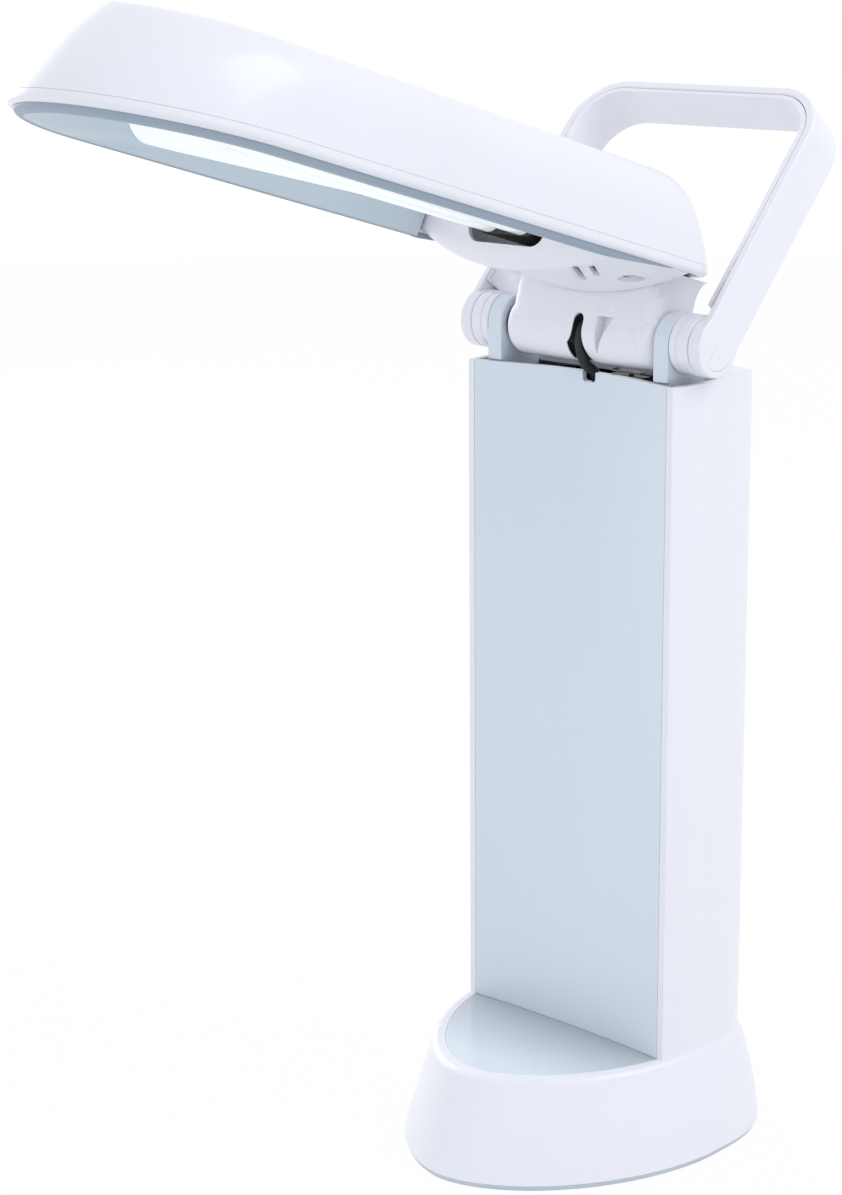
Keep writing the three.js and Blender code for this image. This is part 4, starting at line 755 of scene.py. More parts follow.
def column_mesh():
    """Housing: the flared skirt, the shaft open at the front, and the deck behind the hinge."""
    outer = [plan_ring(share / 10, 0, LEDGE_Z - share / 10 * SKIRT_HEIGHT, 1) for share in range(10, 1, -1)]
    start = SHOULDER_ROUNDING / SKIRT_HEIGHT
    outer.append(plan_ring(start, 0, LEDGE_Z - SHOULDER_ROUNDING, 1))
    for step in range(1, 9):
        turn = math.pi / 2 * step / 8
        outer.append(plan_ring(start * (1 - step / 8), SHOULDER_ROUNDING * (1 - math.cos(turn)),
                               LEDGE_Z - SHOULDER_ROUNDING * (1 - math.sin(turn)), 1))
    inner = [plan_ring(0, WALL, LEDGE_Z), plan_ring(0, WALL, LEDGE_Z - 2 * SHOULDER_ROUNDING)]
    inner += [plan_ring(share / 5, WALL, LEDGE_Z - share / 5 * SKIRT_HEIGHT, 1) for share in range(1, 6)]
    skirt = loft(outer + inner, closed=True)
    low = LEDGE_Z - 2 * SHOULDER_ROUNDING
    walls = []
    for z in (low, LEDGE_Z, (LEDGE_Z + PANEL_TOP_Z) / 2, PANEL_TOP_Z):
        walls.append(behind_front(0, PANEL_Y, z) + behind_front(WALL, PANEL_Y, z)[::-1])
    shaft = loft(walls)
    deck_y = PANEL_Y + DECK_START
    wall = behind_front(WALL - SEAM, PLAN_CENTRE_Y, PANEL_TOP_Z - SEAM / 10)
    back = [point for point in wall if point.y > deck_y]
    back = [Vector((back[0].x, deck_y, back[0].z)), *back, Vector((back[-1].x, deck_y, back[-1].z))]
    deck = extruded(back, (0, 0, -DECK_THICKNESS))
    return together(skirt, shaft, deck)


def panel_mesh():
    """Panel hollowed across, with the notch for the lead in its top edge."""
    half = panel_half()
    rings = []
    for z in [LEDGE_Z + PANEL_HEIGHT * step / 12 for step in range(13)]:
        xs = [half * (2 * step / 64 - 1) for step in range(65)]
        front = [Vector((x, PANEL_Y + panel_depth(x, z), z)) for x in xs]
        rings.append(front + [point + Vector((0, PANEL_THICKNESS, 0)) for point in reversed(front)])
    soft = NOTCH_WIDTH / 5
    outline = rounded_rect(NOTCH_WIDTH / 2, -NOTCH_DEPTH, NOTCH_DEPTH, soft)
    points = [Vector((NOTCH_X + a, PANEL_Y, PANEL_TOP_Z + b)) for a, b in outline]
    return cut(loft(rings), extruded(points, (0, 4 * PANEL_DISH_TOP, 0)))


def tray_mesh():
    """Half-moon ledge between the skirt's rim and the panel."""
    behind = PANEL_Y + PANEL_DISH_BOTTOM + PANEL_THICKNESS
    outline = plan_ring(0, WALL + SEAM / 6, LEDGE_Z - LEDGE_THICKNESS, 0, 480)
    ring = [point for point in outline if point.y < behind]
    ring.sort(key=lambda point: math.atan2(point.y - PLAN_CENTRE_Y, point.x))
    ring = [Vector((ring[0].x, behind, ring[0].z)), *ring, Vector((ring[-1].x, behind, ring[-1].z))]
    return extruded(ring, (0, 0, LEDGE_THICKNESS - SEAM / 6))


def plate_mesh():
    """Base plate: a rounded rim that shows under the skirt, and a step up inside it."""
    rise = SKIRT_BOTTOM_Z - PAD_THICKNESS
    rim = ((3, 0), (1.3, 0), (1, 0.15), (0.6, 0.5), (0.5, 0.85), (0.6, 1))
    rings = [plan_ring(1, inset * RIM_ROUNDING, PAD_THICKNESS + share * rise) for inset, share in rim]
    rings += [plan_ring(1, 2 * WALL, SKIRT_BOTTOM_Z), plan_ring(1, 2 * WALL, SKIRT_BOTTOM_Z + PLATE_STEP)]
    return loft(rings)


def gland_mesh():
    """Bushing of the mains lead: a collar inside the skirt and a rounded nozzle outside, with its bore."""
    low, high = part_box("cord_gland")
    end = high[1] - low[1]
    body = GLAND_RADIUS - SEAM
    soft = [(end - GLAND_SOFT * (1 - math.sin(turn)), body - GLAND_SOFT * (1 - math.cos(turn)))
            for turn in quarter(6)]
    flange = GLAND_RADIUS + GLAND_FLANGE
    profile = [(0, GLAND_BORE), (0, flange), (GLAND_FLANGE, flange), (GLAND_FLANGE, body), *soft,
               (end, GLAND_BORE + GLAND_SOFT), (end - GLAND_SOFT / 3, GLAND_BORE + GLAND_SOFT / 3),
               (end - GLAND_SOFT, GLAND_BORE), (0, GLAND_BORE)]
    place = Matrix.Translation((0, low[1], (low[2] + high[2]) / 2)) @ Matrix.Rotation(math.pi / 2, 4, "Z")
    return moved(lathe(profile, 64), place)


def base_screw_mesh(name):
    low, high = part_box(name)
    screw = screw_mesh((high[0] - low[0]) / 2, SCREW_HEAD_HEIGHT, SCREW_SHANK_RADIUS, high[2] - low[2])
    place = Matrix.Translation(((low[0] + high[0]) / 2, (low[1] + high[1]) / 2, low[2]))
    return moved(screw, place @ Matrix.Rotation(-math.pi / 2, 4, "Y"))


# Pieces of the hinge

def bracket_floor_mesh():
    top = PANEL_TOP_Z - BRACKET_DROP
    low = top - BRACKET_THICKNESS
    half = panel_half()
    front = [Vector((x, PANEL_Y + panel_depth(x, PANEL_TOP_Z) + PANEL_THICKNESS + SEAM, low))
             for x in [half * (2 * step / 48 - 1) for step in range(49)]]
    wall = behind_front(WALL + SEAM, PLAN_CENTRE_Y - SEAM, low)
    back = [point for point in wall if point.y > PLAN_CENTRE_Y]
    return extruded([*front, *back], (0, 0, BRACKET_THICKNESS))


def bracket_ears_mesh():
    low = PANEL_TOP_Z - BRACKET_DROP - BRACKET_THICKNESS
    foot = PANEL_Y + panel_depth(EAR_INNER_X, PANEL_TOP_Z) + PANEL_THICKNESS + SEAM
    outline = [(foot, low), (AXIS_Y + EAR_RADIUS, low)]
    outline += arc((AXIS_Y, AXIS_Z), EAR_RADIUS, 0, 180, 48)
    outline += [(AXIS_Y - EAR_RADIUS, PANEL_TOP_Z + SEAM), (foot, PANEL_TOP_Z + SEAM)]
    width = (EAR_OUTER_X - EAR_INNER_X, 0, 0)
    return together(*[extruded([Vector((x, y, z)) for y, z in outline], width)
                      for x in (EAR_INNER_X, -EAR_OUTER_X)])


def collar_mesh(side):
    """Ring between ear and handle, with a seam round it."""
    inner, outer = EAR_OUTER_X + SEAM, HUB_INNER_X - SEAM
    groove = inner + 0.36 * (outer - inner)
    soft, bend = HUB_SOFT, 0.3 * HUB_SOFT
    bore = PIN_RADIUS + SEAM
    r = HUB_RADIUS
    profile = [(inner, bore), (inner, r - soft), (inner + bend, r - bend), (inner + soft, r), (groove, r),
               (groove + SEAM / 2, r - SEAM), (groove + SEAM * 1.5, r - SEAM), (groove + 2 * SEAM, r),
               (outer - soft, r), (outer - bend, r - bend), (outer, r - soft), (outer, bore), (inner, bore)]
    return moved(on_side(lathe(profile, 96), side), HINGE_PLACE)


def neck_ring(half, up):
    """Section of the barrel's neck at one height, well rounded in front and barely behind."""
    corners = [(1, -1, NECK_ROUNDING, -90), (1, 1, NECK_REAR_ROUNDING, 0),
               (-1, 1, NECK_REAR_ROUNDING, 90), (-1, -1, NECK_ROUNDING, 180)]
    ring = []
    for side_x, side_y, radius, start in corners:
        centre = (side_x * (half - radius), side_y * (BARREL_RADIUS - NECK_SETBACK - radius))
        ring += [Vector((x, y, up)) for x, y in arc(centre, radius, start, start + 90, 12)]
    return ring


def curve_between(start, middle, end, steps=10):
    """Points of a bend with one handle, without its first point."""
    points = []
    for share in [step / steps for step in range(1, steps + 1)]:
        points.append(tuple((1 - share) ** 2 * a + 2 * share * (1 - share) * b + share ** 2 * c
                            for a, b, c in zip(start, middle, end)))
    return points


def lead_slot(inset=0.0):
    """The slot for the lead as a tool, drawn in by an inset."""
    half = SLOT_WIDTH / 2 - inset
    left = LEAD_X - SLOT_FLARE_LEFT + inset
    right = LEAD_X + SLOT_FLARE_RIGHT - inset
    r = BARREL_RADIUS
    outline = arc((LEAD_X, SLOT_TOP - inset - half), half, 0, 180, 20)
    outline.append((LEAD_X - half, 0))
    outline += curve_between((LEAD_X - half, 0), (LEAD_X - half, -r / 3), (left, -r / 2))
    mouth = -r - OVERRUN
    outline += [(left, mouth), (right, mouth)]
    outline += curve_between((right, mouth), (LEAD_X + half, -r / 2), (LEAD_X + half, 0))
    return extruded([Vector((x, mouth, z)) for x, z in outline], (0, r + OVERRUN - r / 4 - inset, 0))


def shadow_sleeve_mesh():
    """Thin black sleeve in the lead's slot, flush with the barrel, as painted shadow in the slot."""
    radius = BARREL_RADIUS - SEAM
    within = lathe([(-BARREL_HALF, 0), (-BARREL_HALF, radius), (BARREL_HALF, radius), (BARREL_HALF, 0)], 128)
    filling = combine(lead_slot(SEAM / 6), [within], "INTERSECT")
    return moved(cut(filling, lead_slot(1.2 * SEAM)), HEAD_PLACE)


def switch_groove():
    """The tapered groove that works the switch, as a tool: deep at its left, running out to its right."""
    outside = -BARREL_RADIUS - OVERRUN
    skin = -math.sqrt(BARREL_RADIUS ** 2 - GROOVE_TOP ** 2)
    tip_skin = -math.sqrt(BARREL_RADIUS ** 2 - GROOVE_TIP_DROP ** 2)
    corners = [(GROOVE_LEFT, GROOVE_TOP, skin + GROOVE_DEPTH), (GROOVE_RIGHT, GROOVE_TOP, skin),
               (GROOVE_TIP_X, -GROOVE_TIP_DROP, tip_skin)]
    return loft([[Vector((x, outside, up)) for x, up, depth in corners],
                 [Vector((x, depth, up)) for x, up, depth in corners]])


def barrel_mesh():
    """Barrel with its neck and flange, its slot and its groove."""
    barrel = lathe(disc_profile(-BARREL_HALF, BARREL_HALF, BARREL_RADIUS, BARREL_ROUNDING, 10), 128)
    rise = RIM_ABOVE_AXIS - SEAM - FLARE_START
    shares = [step / 12 for step in range(12)] + [0.96, 0.99, 1]
    half = BARREL_HALF - NECK_SETBACK
    neck = loft([neck_ring(half, 0)] + [
        neck_ring(half + FLARE_SPREAD * (1 - math.sqrt(1 - share * share)), FLARE_START + rise * share)
        for share in shares])
    under = RIM_ABOVE_AXIS + FLANGE_GAP
    over = under + FLANGE_THICKNESS
    plate = block((-FLANGE_HALF, FLANGE_REAR, under), (FLANGE_HALF, FLANGE_REACH, over))
    moved(plate, Matrix.Scale(-1, 4, (0, 1, 0)))
    bmesh.ops.reverse_faces(plate, faces=plate.faces)
    core = BARREL_HALF - NECK_CORE_SETBACK
    riser = block((-core, -BARREL_RADIUS + NECK_CORE_SETBACK, FLARE_START),
                  (core, -FLANGE_REAR, over - NECK_CORE_DROP))
    body = cut(join(barrel, neck), lead_slot(), switch_groove())
    return moved(together(body, plate, riser), HEAD_PLACE)


def lead_route():
    """The lead's course: up behind the panel, out over its notch and up the barrel's slot."""
    behind = PANEL_Y + PANEL_DISH_TOP + PANEL_THICKNESS
    top = PANEL_TOP_Z
    return [(NOTCH_X, behind + 0.003, top - 0.03), (NOTCH_X, behind + 0.003, top - 0.016),
            (NOTCH_X, behind + 0.0032, top - 0.007), (NOTCH_X - 0.0002, behind + 0.001, top - 0.0008),
            (NOTCH_X - 0.0014, behind - 0.0026, top + 0.0022),
            (LEAD_X + 0.0012, behind - 0.0049, top + 0.006),
            (LEAD_X, behind - 0.0048, top + 0.011), (LEAD_X, behind - 0.0044, top + 0.0155),
            (LEAD_X, behind - 0.0022, top + 0.0177), (LEAD_X, behind + 0.0008, top + 0.018)]


def smooth_route(points, steps=12):
    """A smooth curve through the points."""
    points = [Vector(point) for point in points]
    ends = [2 * points[0] - points[1], *points, 2 * points[-1] - points[-2]]
    route = []
    for i in range(1, len(ends) - 2):
        p0, p1, p2, p3 = ends[i - 1:i + 3]
        for t in [step / steps for step in range(steps)]:
            route.append(0.5 * (2 * p1 + (p2 - p0) * t + (2 * p0 - 5 * p1 + 4 * p2 - p3) * t * t
                                + (3 * p1 - p0 - 3 * p2 + p3) * t ** 3))
    return [*route, points[-1]]


def tube_along(route, radius, steps=24):
    """A round sheath along a route."""
    rings = []
    side = Vector((1, 0, 0))
    for i, point in enumerate(route):
        ahead = (route[min(i + 1, len(route) - 1)] - route[max(i - 1, 0)]).normalized()
        side = (side - ahead * side.dot(ahead)).normalized()
        up = ahead.cross(side)
        rings.append([point + radius * (math.cos(a) * side + math.sin(a) * up)
                      for a in [2 * math.pi * step / steps for step in range(steps)]])
    return loft(rings)


# Pieces of the head

def shell_mesh():
    """Rounded shell above the bezel. Its rings draw closer together towards the crown."""
    start = BEZEL_HEIGHT + SEAM / 5
    shares = [0.17, 0.25, 0.33, 0.41, 0.49, 0.56, 0.62, 0.68, 0.73, 0.77, 0.81, 0.84, 0.87, 0.895, 0.915,
              0.933, 0.948, 0.961, 0.972, 0.981, 0.988, 0.993, 0.9965, 0.9985, 0.9995]
    inside = HEAD_HEIGHT - HEAD_WALL
    outer = [head_ring(level, 0) for level in [start, *[share * HEAD_HEIGHT for share in shares]]]
    inner = [head_ring(level, HEAD_WALL, inside) for level in [start, *[share * inside for share in shares]]]
    return moved(loft(outer[::-1] + inner), HEAD_PLACE)


def bezel_mesh():
    """Rim ring of the head, rounded below, with half of the seam to the shell."""
    rings = []
    for turn in quarter(8):
        rings.append(head_ring(BEZEL_ROUNDING * (1 - math.cos(turn)), BEZEL_ROUNDING * (1 - math.sin(turn))))
    groove = SEAM / 5
    rings += [head_ring(BEZEL_HEIGHT - groove, 0), head_ring(BEZEL_HEIGHT, groove)]
    rings.append(head_ring(BEZEL_HEIGHT, BEZEL_THICKNESS))
    rings.append(head_ring(BEZEL_CHAMFER, BEZEL_THICKNESS))
    rings.append(head_ring(0, BEZEL_THICKNESS - BEZEL_CHAMFER))
    return moved(loft(rings, closed=True), HEAD_PLACE)


def reflector_mesh():
    """Bath-shaped reflector, open below and cut off square at the lamp base."""
    shares = [0, 0.12, 0.25, 0.38, 0.5, 0.6, 0.7, 0.78, 0.85, 0.9, 0.94, 0.97, 0.985, 0.993]
    outer = [reflector_ring(share, 0) for share in shares]
    inner = [reflector_ring(share, REFLECTOR_SKIN) for share in shares]
    bath = loft(outer[::-1] + inner)
    behind = block((-HEAD_HALF_WIDTH, -COVER_FRONT - 1.5 * COVER_SKIN, 0), (HEAD_HALF_WIDTH, 0, HEAD_REACH))
    return moved(cut(bath, behind), HEAD_PLACE)


def lining_point(turn, away, inset, level):
    """A place on the head's outline, drawn in by an inset. Turn runs round the nose from -90 to 90 degrees,
    and away is the way back from there along a side."""
    along = HEAD_REACH - NOSE_LENGTH + (NOSE_LENGTH - inset) * math.cos(turn) - away
    return Vector(((HEAD_HALF_WIDTH - inset) * math.sin(turn), -along, RIM_ABOVE_AXIS + level))


def lip_section(turn, away):
    """Section of the lip under the bezel, its darker grey painted shade: down its outer face to the keel
    and back up inside it. Beside the cover it is narrow and runs out towards the rear."""
    along = HEAD_REACH - NOSE_LENGTH - away
    corner = COVER_FRONT - COVER_BOW
    wide = min(max((along - corner) / LIP_TAPER, 0), 1)
    keel = LINING_NARROW_KEEL + (LINING_KEEL - LINING_NARROW_KEEL) * wide
    drop = LINING_DROP * min(0.1 + 0.9 * (along - LINING_REAR) / (corner - LINING_REAR), 1)
    section = []
    for bend in quarter(6):
        section.append(lining_point(turn, away, LINING_INSET + (keel - LINING_INSET) * (1 - math.cos(bend)),
                                    -drop * math.sin(bend)))
    section.append(lining_point(turn, away, keel, -0.8 * drop))
    section.append(lining_point(turn, away, LINING_INSET + SEAM, -SEAM / 6))
    return section


def lining_section(turn, away):
    """Section of the lining from the lip's keel to the reflector's edge, a steep wall round the nose."""
    half = REFLECTOR_HALF_WIDTH + SEAM
    nose = REFLECTOR_NOSE + SEAM
    share = away / (HEAD_REACH - NOSE_LENGTH - COVER_FRONT)
    along = REFLECTOR_REACH - REFLECTOR_NOSE + nose * signed_power(math.cos(turn), 2 / REFLECTOR_CORNERS)
    along -= share * (REFLECTOR_REACH - REFLECTOR_NOSE - COVER_FRONT)
    x = half * signed_power(math.sin(turn), 2 / REFLECTOR_CORNERS)
    edge = Vector((x, -along, RIM_ABOVE_AXIS + reflector_edge(along)))
    keel = lining_point(turn, away, LINING_KEEL, -0.94 * LINING_DROP)
    steep = LINING_WALL_SHARE * math.cos(turn)
    wall = lining_point(turn, away, LINING_KEEL + SEAM, edge.z - RIM_ABOVE_AXIS - LINING_SKIN)
    visible = [keel]
    for bend in [step / 8 for step in range(1, 8)]:
        straight = keel.lerp(edge, bend)
        bowed = keel.lerp(wall, bend).lerp(wall.lerp(edge, bend), bend)
        visible.append(straight.lerp(bowed, steep))
    visible.append(edge)
    over = Vector((0, 0, LINING_SKIN))
    hidden = [point + over for point in reversed(visible[1:])]
    return visible + hidden + [lining_point(turn, away, LINING_KEEL - LINING_SKIN, -0.5 * LINING_DROP)]


def course(rear, back_steps=16, nose_steps=72):
    """Places along one side from the rear, round the nose and back, as (turn, away) pairs."""
    rest = HEAD_REACH - NOSE_LENGTH - rear
    places = [(-math.pi / 2, rest * (1 - step / back_steps)) for step in range(back_steps)]
    places += [(math.pi * (step / nose_steps - 0.5), 0) for step in range(nose_steps + 1)]
    return places + [(math.pi / 2, rest * step / back_steps) for step in range(1, back_steps + 1)]


def lip_mesh():
    """Lip under the bezel, from the neck's side round the nose; its darker grey is painted shade."""
    return moved(loft([lip_section(*place) for place in course(LINING_REAR, 60)]), HEAD_PLACE)


def lining_mesh():
    """Grey lining between the lip and the reflector."""
    rear = COVER_FRONT - 0.7 * COVER_BOW
    return moved(loft([lining_section(*place) for place in course(rear)]), HEAD_PLACE)


def cover_mesh():
    """Chin under the lamp base, with its window, hook slots and the posts of the neck screws."""
    rings = []
    for x in [(2 * step / 72 - 1) * COVER_HALF_WIDTH for step in range(73)]:
        rings.append(cover_section(x, 0) + cover_section(x, COVER_SKIN)[::-1])
    shell = loft(rings)
    tools = []
    outline = rounded_rect(WINDOW_WIDTH / 2, -WINDOW_SILL, COVER_TOP + WINDOW_ROUNDING * 2, WINDOW_ROUNDING)
    outside = -COVER_FRONT - OVERRUN
    window = [Vector((x, outside, RIM_ABOVE_AXIS + z)) for x, z in outline]
    tools.append(extruded(window, (0, 3 * COVER_SKIN, 0)))
    posts = []
    post_top = RIM_ABOVE_AXIS + FLANGE_GAP - SEAM
    for side in (-1, 1):
        x = side * NECK_SCREW_X
        upright = Matrix.Translation((x, -NECK_SCREW_ALONG, 0)) @ Matrix.Rotation(-math.pi / 2, 4, "Y")
        low = cover_underside(NECK_SCREW_X) + COVER_SKIN / 2
        post = disc_profile(low, post_top, POST_RADIUS, SEAM)
        bore = disc_profile(0, post_top - POST_WALL, POST_RADIUS - POST_WALL, SEAM)
        posts.append(moved(lathe(post, 64), upright))
        tools.append(moved(lathe(bore, 64), upright))
        for count, share in enumerate(HOOK_SHARES):
            length = HOOK_LENGTH * share
            outline = rounded_rect(HOOK_WIDTH / 2, -length / 2, length / 2, HOOK_WIDTH / 2.1, 6)
            low = RIM_ABOVE_AXIS - COVER_DROP - OVERRUN
            slot = extruded([Vector((a, b, low)) for a, b in outline], (0, 0, COVER_DROP + OVERRUN))
            x = side * (HOOK_X + count * HOOK_PITCH)
            place = Matrix.Translation((x, -HOOK_ALONG + count * HOOK_STAGGER, 0))
            tools.append(moved(slot, place @ Matrix.Rotation(side * HOOK_TURN, 4, "Z")))
    return moved(cut(join(shell, *posts), *tools), HEAD_PLACE)


def limb_profile(start, end, radius, steps=12):
    tip = [(end - radius + radius * math.sin(turn), radius * math.cos(turn)) for turn in quarter(steps)]
    return [(start, 0), (start, radius), *tip]


def tube_mesh():
    """Twin tube with its bridge near the tips."""
    turn = Matrix.Rotation(-math.pi / 2, 4, "Z")
    limbs = []
    for side in (-1, 1):
        limb = lathe(limb_profile(LAMP_BASE_FRONT + SEAM, TUBE_TIP, TUBE_RADIUS), 48)
        limbs.append(moved(limb, Matrix.Translation((side * TUBE_SPACING / 2, 0, TUBE_UP)) @ turn))
    bridge = lathe(disc_profile(-TUBE_SPACING / 2, TUBE_SPACING / 2, BRIDGE_RADIUS, SEAM), 32)
    moved(bridge, Matrix.Translation((0, -(TUBE_TIP - BRIDGE_SETBACK), TUBE_UP)))
    return moved(together(*limbs, bridge), HEAD_PLACE)


def lamp_base_mesh():
    """Base of the lamp, with the groove that its socket grips."""
    outline = rounded_rect(LAMP_BASE_WIDTH / 2, -LAMP_BASE_HEIGHT / 2, LAMP_BASE_HEIGHT / 2, TUBE_RADIUS)
    rear = LAMP_BASE_FRONT - LAMP_BASE_LENGTH
    groove = [(rear + step, inset) for step, inset in LAMP_BASE_GROOVE]
    lip = [(LAMP_BASE_FRONT - step, inset) for step, inset in LAMP_BASE_EDGE]
    rings = []
    for along, inset in [(rear, 0), *groove, *lip]:
        shrink_x = 1 - inset / (LAMP_BASE_WIDTH / 2)
        shrink_z = 1 - inset / (LAMP_BASE_HEIGHT / 2)
        rings.append([Vector((x * shrink_x, -along, TUBE_UP + z * shrink_z)) for x, z in outline])
    return moved(loft(rings), HEAD_PLACE)


def screw_mesh(head_radius, head_height, shank_radius, length):
    """A pan head screw along +X from the top of its head, with a cross recess."""
    dome = [(0.35 * head_height * share ** 2, head_radius * share) for share in (0.3, 0.5, 0.7, 0.85)]
    crown = [(0, 0), *dome, (0.5 * head_height, head_radius), (head_height, head_radius),
             (head_height, shank_radius)]
    pitch = 2.4 * shank_radius / 3
    x = head_height + pitch
    while x < length - pitch:
        crown += [(x, 0.82 * shank_radius), (x + pitch / 2, shank_radius)]
        x += pitch
    crown += [(length, 0.4 * shank_radius), (length, 0)]
    body = lathe(crown, 32)
    wing = 0.62 * head_radius
    thin = 0.13 * head_radius
    depth = 0.55 * head_height
    bars = [block((-head_height, -y, -z), (depth, y, z)) for y, z in ((wing, thin), (thin, wing))]
    return cut(body, *bars)


def neck_screw_mesh(side):
    seat = RIM_ABOVE_AXIS + FLANGE_GAP - SEAM - POST_WALL
    length = SCREW_HEAD_HEIGHT + SCREW_LENGTH
    screw = screw_mesh(NECK_SCREW_RADIUS, SCREW_HEAD_HEIGHT, SCREW_SHANK_RADIUS, length)
    place = Matrix.Translation((side * NECK_SCREW_X, -NECK_SCREW_ALONG, seat - SCREW_HEAD_HEIGHT))
    return moved(screw, HEAD_PLACE @ place @ Matrix.Rotation(-math.pi / 2, 4, "Y"))


# Pieces of the handle

def strap_path(offset, steps=28):
    """The strap's course in X and Z at an offset in from its outer face, with the way in at each point."""
    x = HINGE_HALF_WIDTH - offset
    top = HANDLE_REACH - offset
    corner = HANDLE_CORNER - offset
    path = [((x, 0), (-1, 0)), ((x, (top - corner) / 2), (-1, 0))]
    for turn in quarter(steps):
        path.append(((x - corner + corner * math.cos(turn), top - corner + corner * math.sin(turn)),
                     (-math.cos(turn), -math.sin(turn))))
    path += [((-px, pz), (-nx, nz)) for (px, pz), (nx, nz) in reversed(path)]
    return path


def strap_mesh(outset, inset, soft, start=0.0):
    """Half of the strap between two offsets, with soft edges, from start above the hinge line."""
    half = STRAP_WIDTH / 2
    thick = inset - outset
    outline = rounded_rect(half, 0, thick, soft, 4)
    rings = []
    for (x, z), (nx, nz) in strap_path(outset):
        z = max(z, start)
        rings.append([Vector((x + nx * depth, y, z + nz * depth)) for y, depth in outline])
    return loft(rings)


def cap_outline(radius, chord, steps=48):
    """D shape of the cap in Y and Z, its flat along the strap."""
    turn = math.degrees(math.asin(chord / radius))
    return arc((0, 0), radius, -90 - turn, 90 + turn, steps)


def hub_mesh():
    """Hub disc with its recess for the cap and the counterbore of the bolt."""
    hub = lathe(disc_profile(HUB_INNER_X, HINGE_HALF_WIDTH, HUB_RADIUS, HUB_SOFT), 96)
    floor = HINGE_HALF_WIDTH - CAP_THICKNESS - SEAM
    outline = cap_outline(CAP_RADIUS + SEAM / 5, CAP_CHORD + 0.8 * SEAM)
    recess = extruded([Vector((floor, y, z)) for y, z in outline], (HUB_TOOL_LENGTH, 0, 0))
    notch = block((floor, -PRY_HALF, -PRY_HALF), (floor + HUB_TOOL_LENGTH, PRY_HALF, PRY_HALF))
    moved(notch, Matrix.Translation((0, -CAP_CHORD, CAP_RADIUS - PRY_BITE)))
    well = lathe(disc_profile(floor - WELL_DEPTH, floor + SEAM / 2, PIN_HEAD_RADIUS + SEAM, SEAM / 2), 48)
    return cut(hub, recess, notch, well)


def handle_outer_mesh():
    band = strap_mesh(STRAP_SETBACK, STRAP_OUTER, STRAP_BEVEL)
    return moved(together(band, hub_mesh(), on_side(hub_mesh(), -1)), HANDLE_PLACE)


def handle_inner_mesh():
    band = strap_mesh(STRAP_OUTER + STRAP_SEAM, STRAP_THICKNESS, STRAP_BEVEL, HUB_RADIUS + SEAM)
    return moved(band, HANDLE_PLACE)


def cap_mesh(side):
    inner = HINGE_HALF_WIDTH - CAP_THICKNESS
    outline = [Vector((inner, y, z)) for y, z in cap_outline(CAP_RADIUS, CAP_CHORD)]
    cap = extruded(outline, (CAP_THICKNESS, 0, 0))
    return moved(on_side(cap, side), HANDLE_PLACE)


# Stage

def make_camera():
    data = bpy.data.cameras.new("camera")
    data.sensor_fit = "VERTICAL"
    data.sensor_height = 36
    data.lens = CAMERA_LENS
    data.clip_start, data.clip_end = 0.05, 20
    camera = bpy.data.objects.new("camera", data)
    bpy.context.scene.collection.objects.link(camera)
    a, e, r = CAMERA_AZIMUTH, CAMERA_ELEVATION, CAMERA_ROLL
    back = Vector((math.sin(a) * math.cos(e), -math.cos(a) * math.cos(e), math.sin(e)))
    right = Vector((math.cos(a), math.sin(a), 0))
    up = back.cross(right)
    right, up = math.cos(r) * right + math.sin(r) * up, -math.sin(r) * right + math.cos(r) * up
    turn = Matrix((right, up, back)).transposed().to_4x4()
    camera.matrix_world = Matrix.Translation(CAMERA_PLACE) @ turn
    bpy.context.scene.camera = camera


def seen_directly(tree):
    """1 where a ray comes straight from the camera, or through or off something shiny."""
    path = add_node(tree, "LightPath")
    found = path.outputs["Is Camera Ray"]
    for kind in ("Is Glossy Ray", "Is Transmission Ray"):
        either = add_node(tree, "Math")
        either.operation = "MAXIMUM"
        tree.links.new(found, either.inputs[0])
        tree.links.new(path.outputs[kind], either.inputs[1])
        found = either.outputs[0]
    return found


def mixed_to(tree, share, usual, seen, output):
    """Joins two shaders by a share and leads them to an output's surface."""
    mix = add_node(tree, "MixShader")
    tree.links.new(share, mix.inputs["Fac"])
    tree.links.new(usual.outputs[0], mix.inputs[1])
    tree.links.new(seen.outputs[0], mix.inputs[2])
    tree.links.new(mix.outputs[0], tree.nodes[output].inputs["Surface"])


def make_world():
    world = bpy.data.worlds.new("studio")
    bpy.context.scene.world = world
    world.use_nodes = True
    tree = world.node_tree
    sky = tree.nodes["Background"]
    sky.inputs["Color"].default_value = (0.9, 0.95, 1.0, 1)
    sky.inputs["Strength"].default_value = bpy.context.scene.task_lamp_stage.sky_strength
    plain = add_node(tree, "Background", Color=(1, 1, 1, 1), Strength=1.0)
    mixed_to(tree, seen_directly(tree), sky, plain, "World Output")


def make_floor():
    bm = bmesh.new()
    bmesh.ops.create_circle(bm, cap_ends=True, radius=FLOOR_RADIUS, segments=96)
    floor = as_object("floor", bm)
    material = new_material("pale_floor")
    tree = material.node_tree
    shader = shader_of(material)
    shader.inputs["Roughness"].default_value = 0.9
    tint_by(material, object_noise(material, 6, 2), (0.8, 0.81, 0.82), (0.84, 0.85, 0.86))
    glow = add_node(tree, "Emission", Color=(1, 1, 1, 1), Strength=1.0)
    share = add_node(tree, "Math")
    share.operation = "MULTIPLY"
    share.inputs[1].default_value = FLOOR_WHITE_SHARE
    tree.links.new(seen_directly(tree), share.inputs[0])
    mixed_to(tree, share.outputs[0], shader, glow, "Material Output")
    floor.data.materials.append(material)


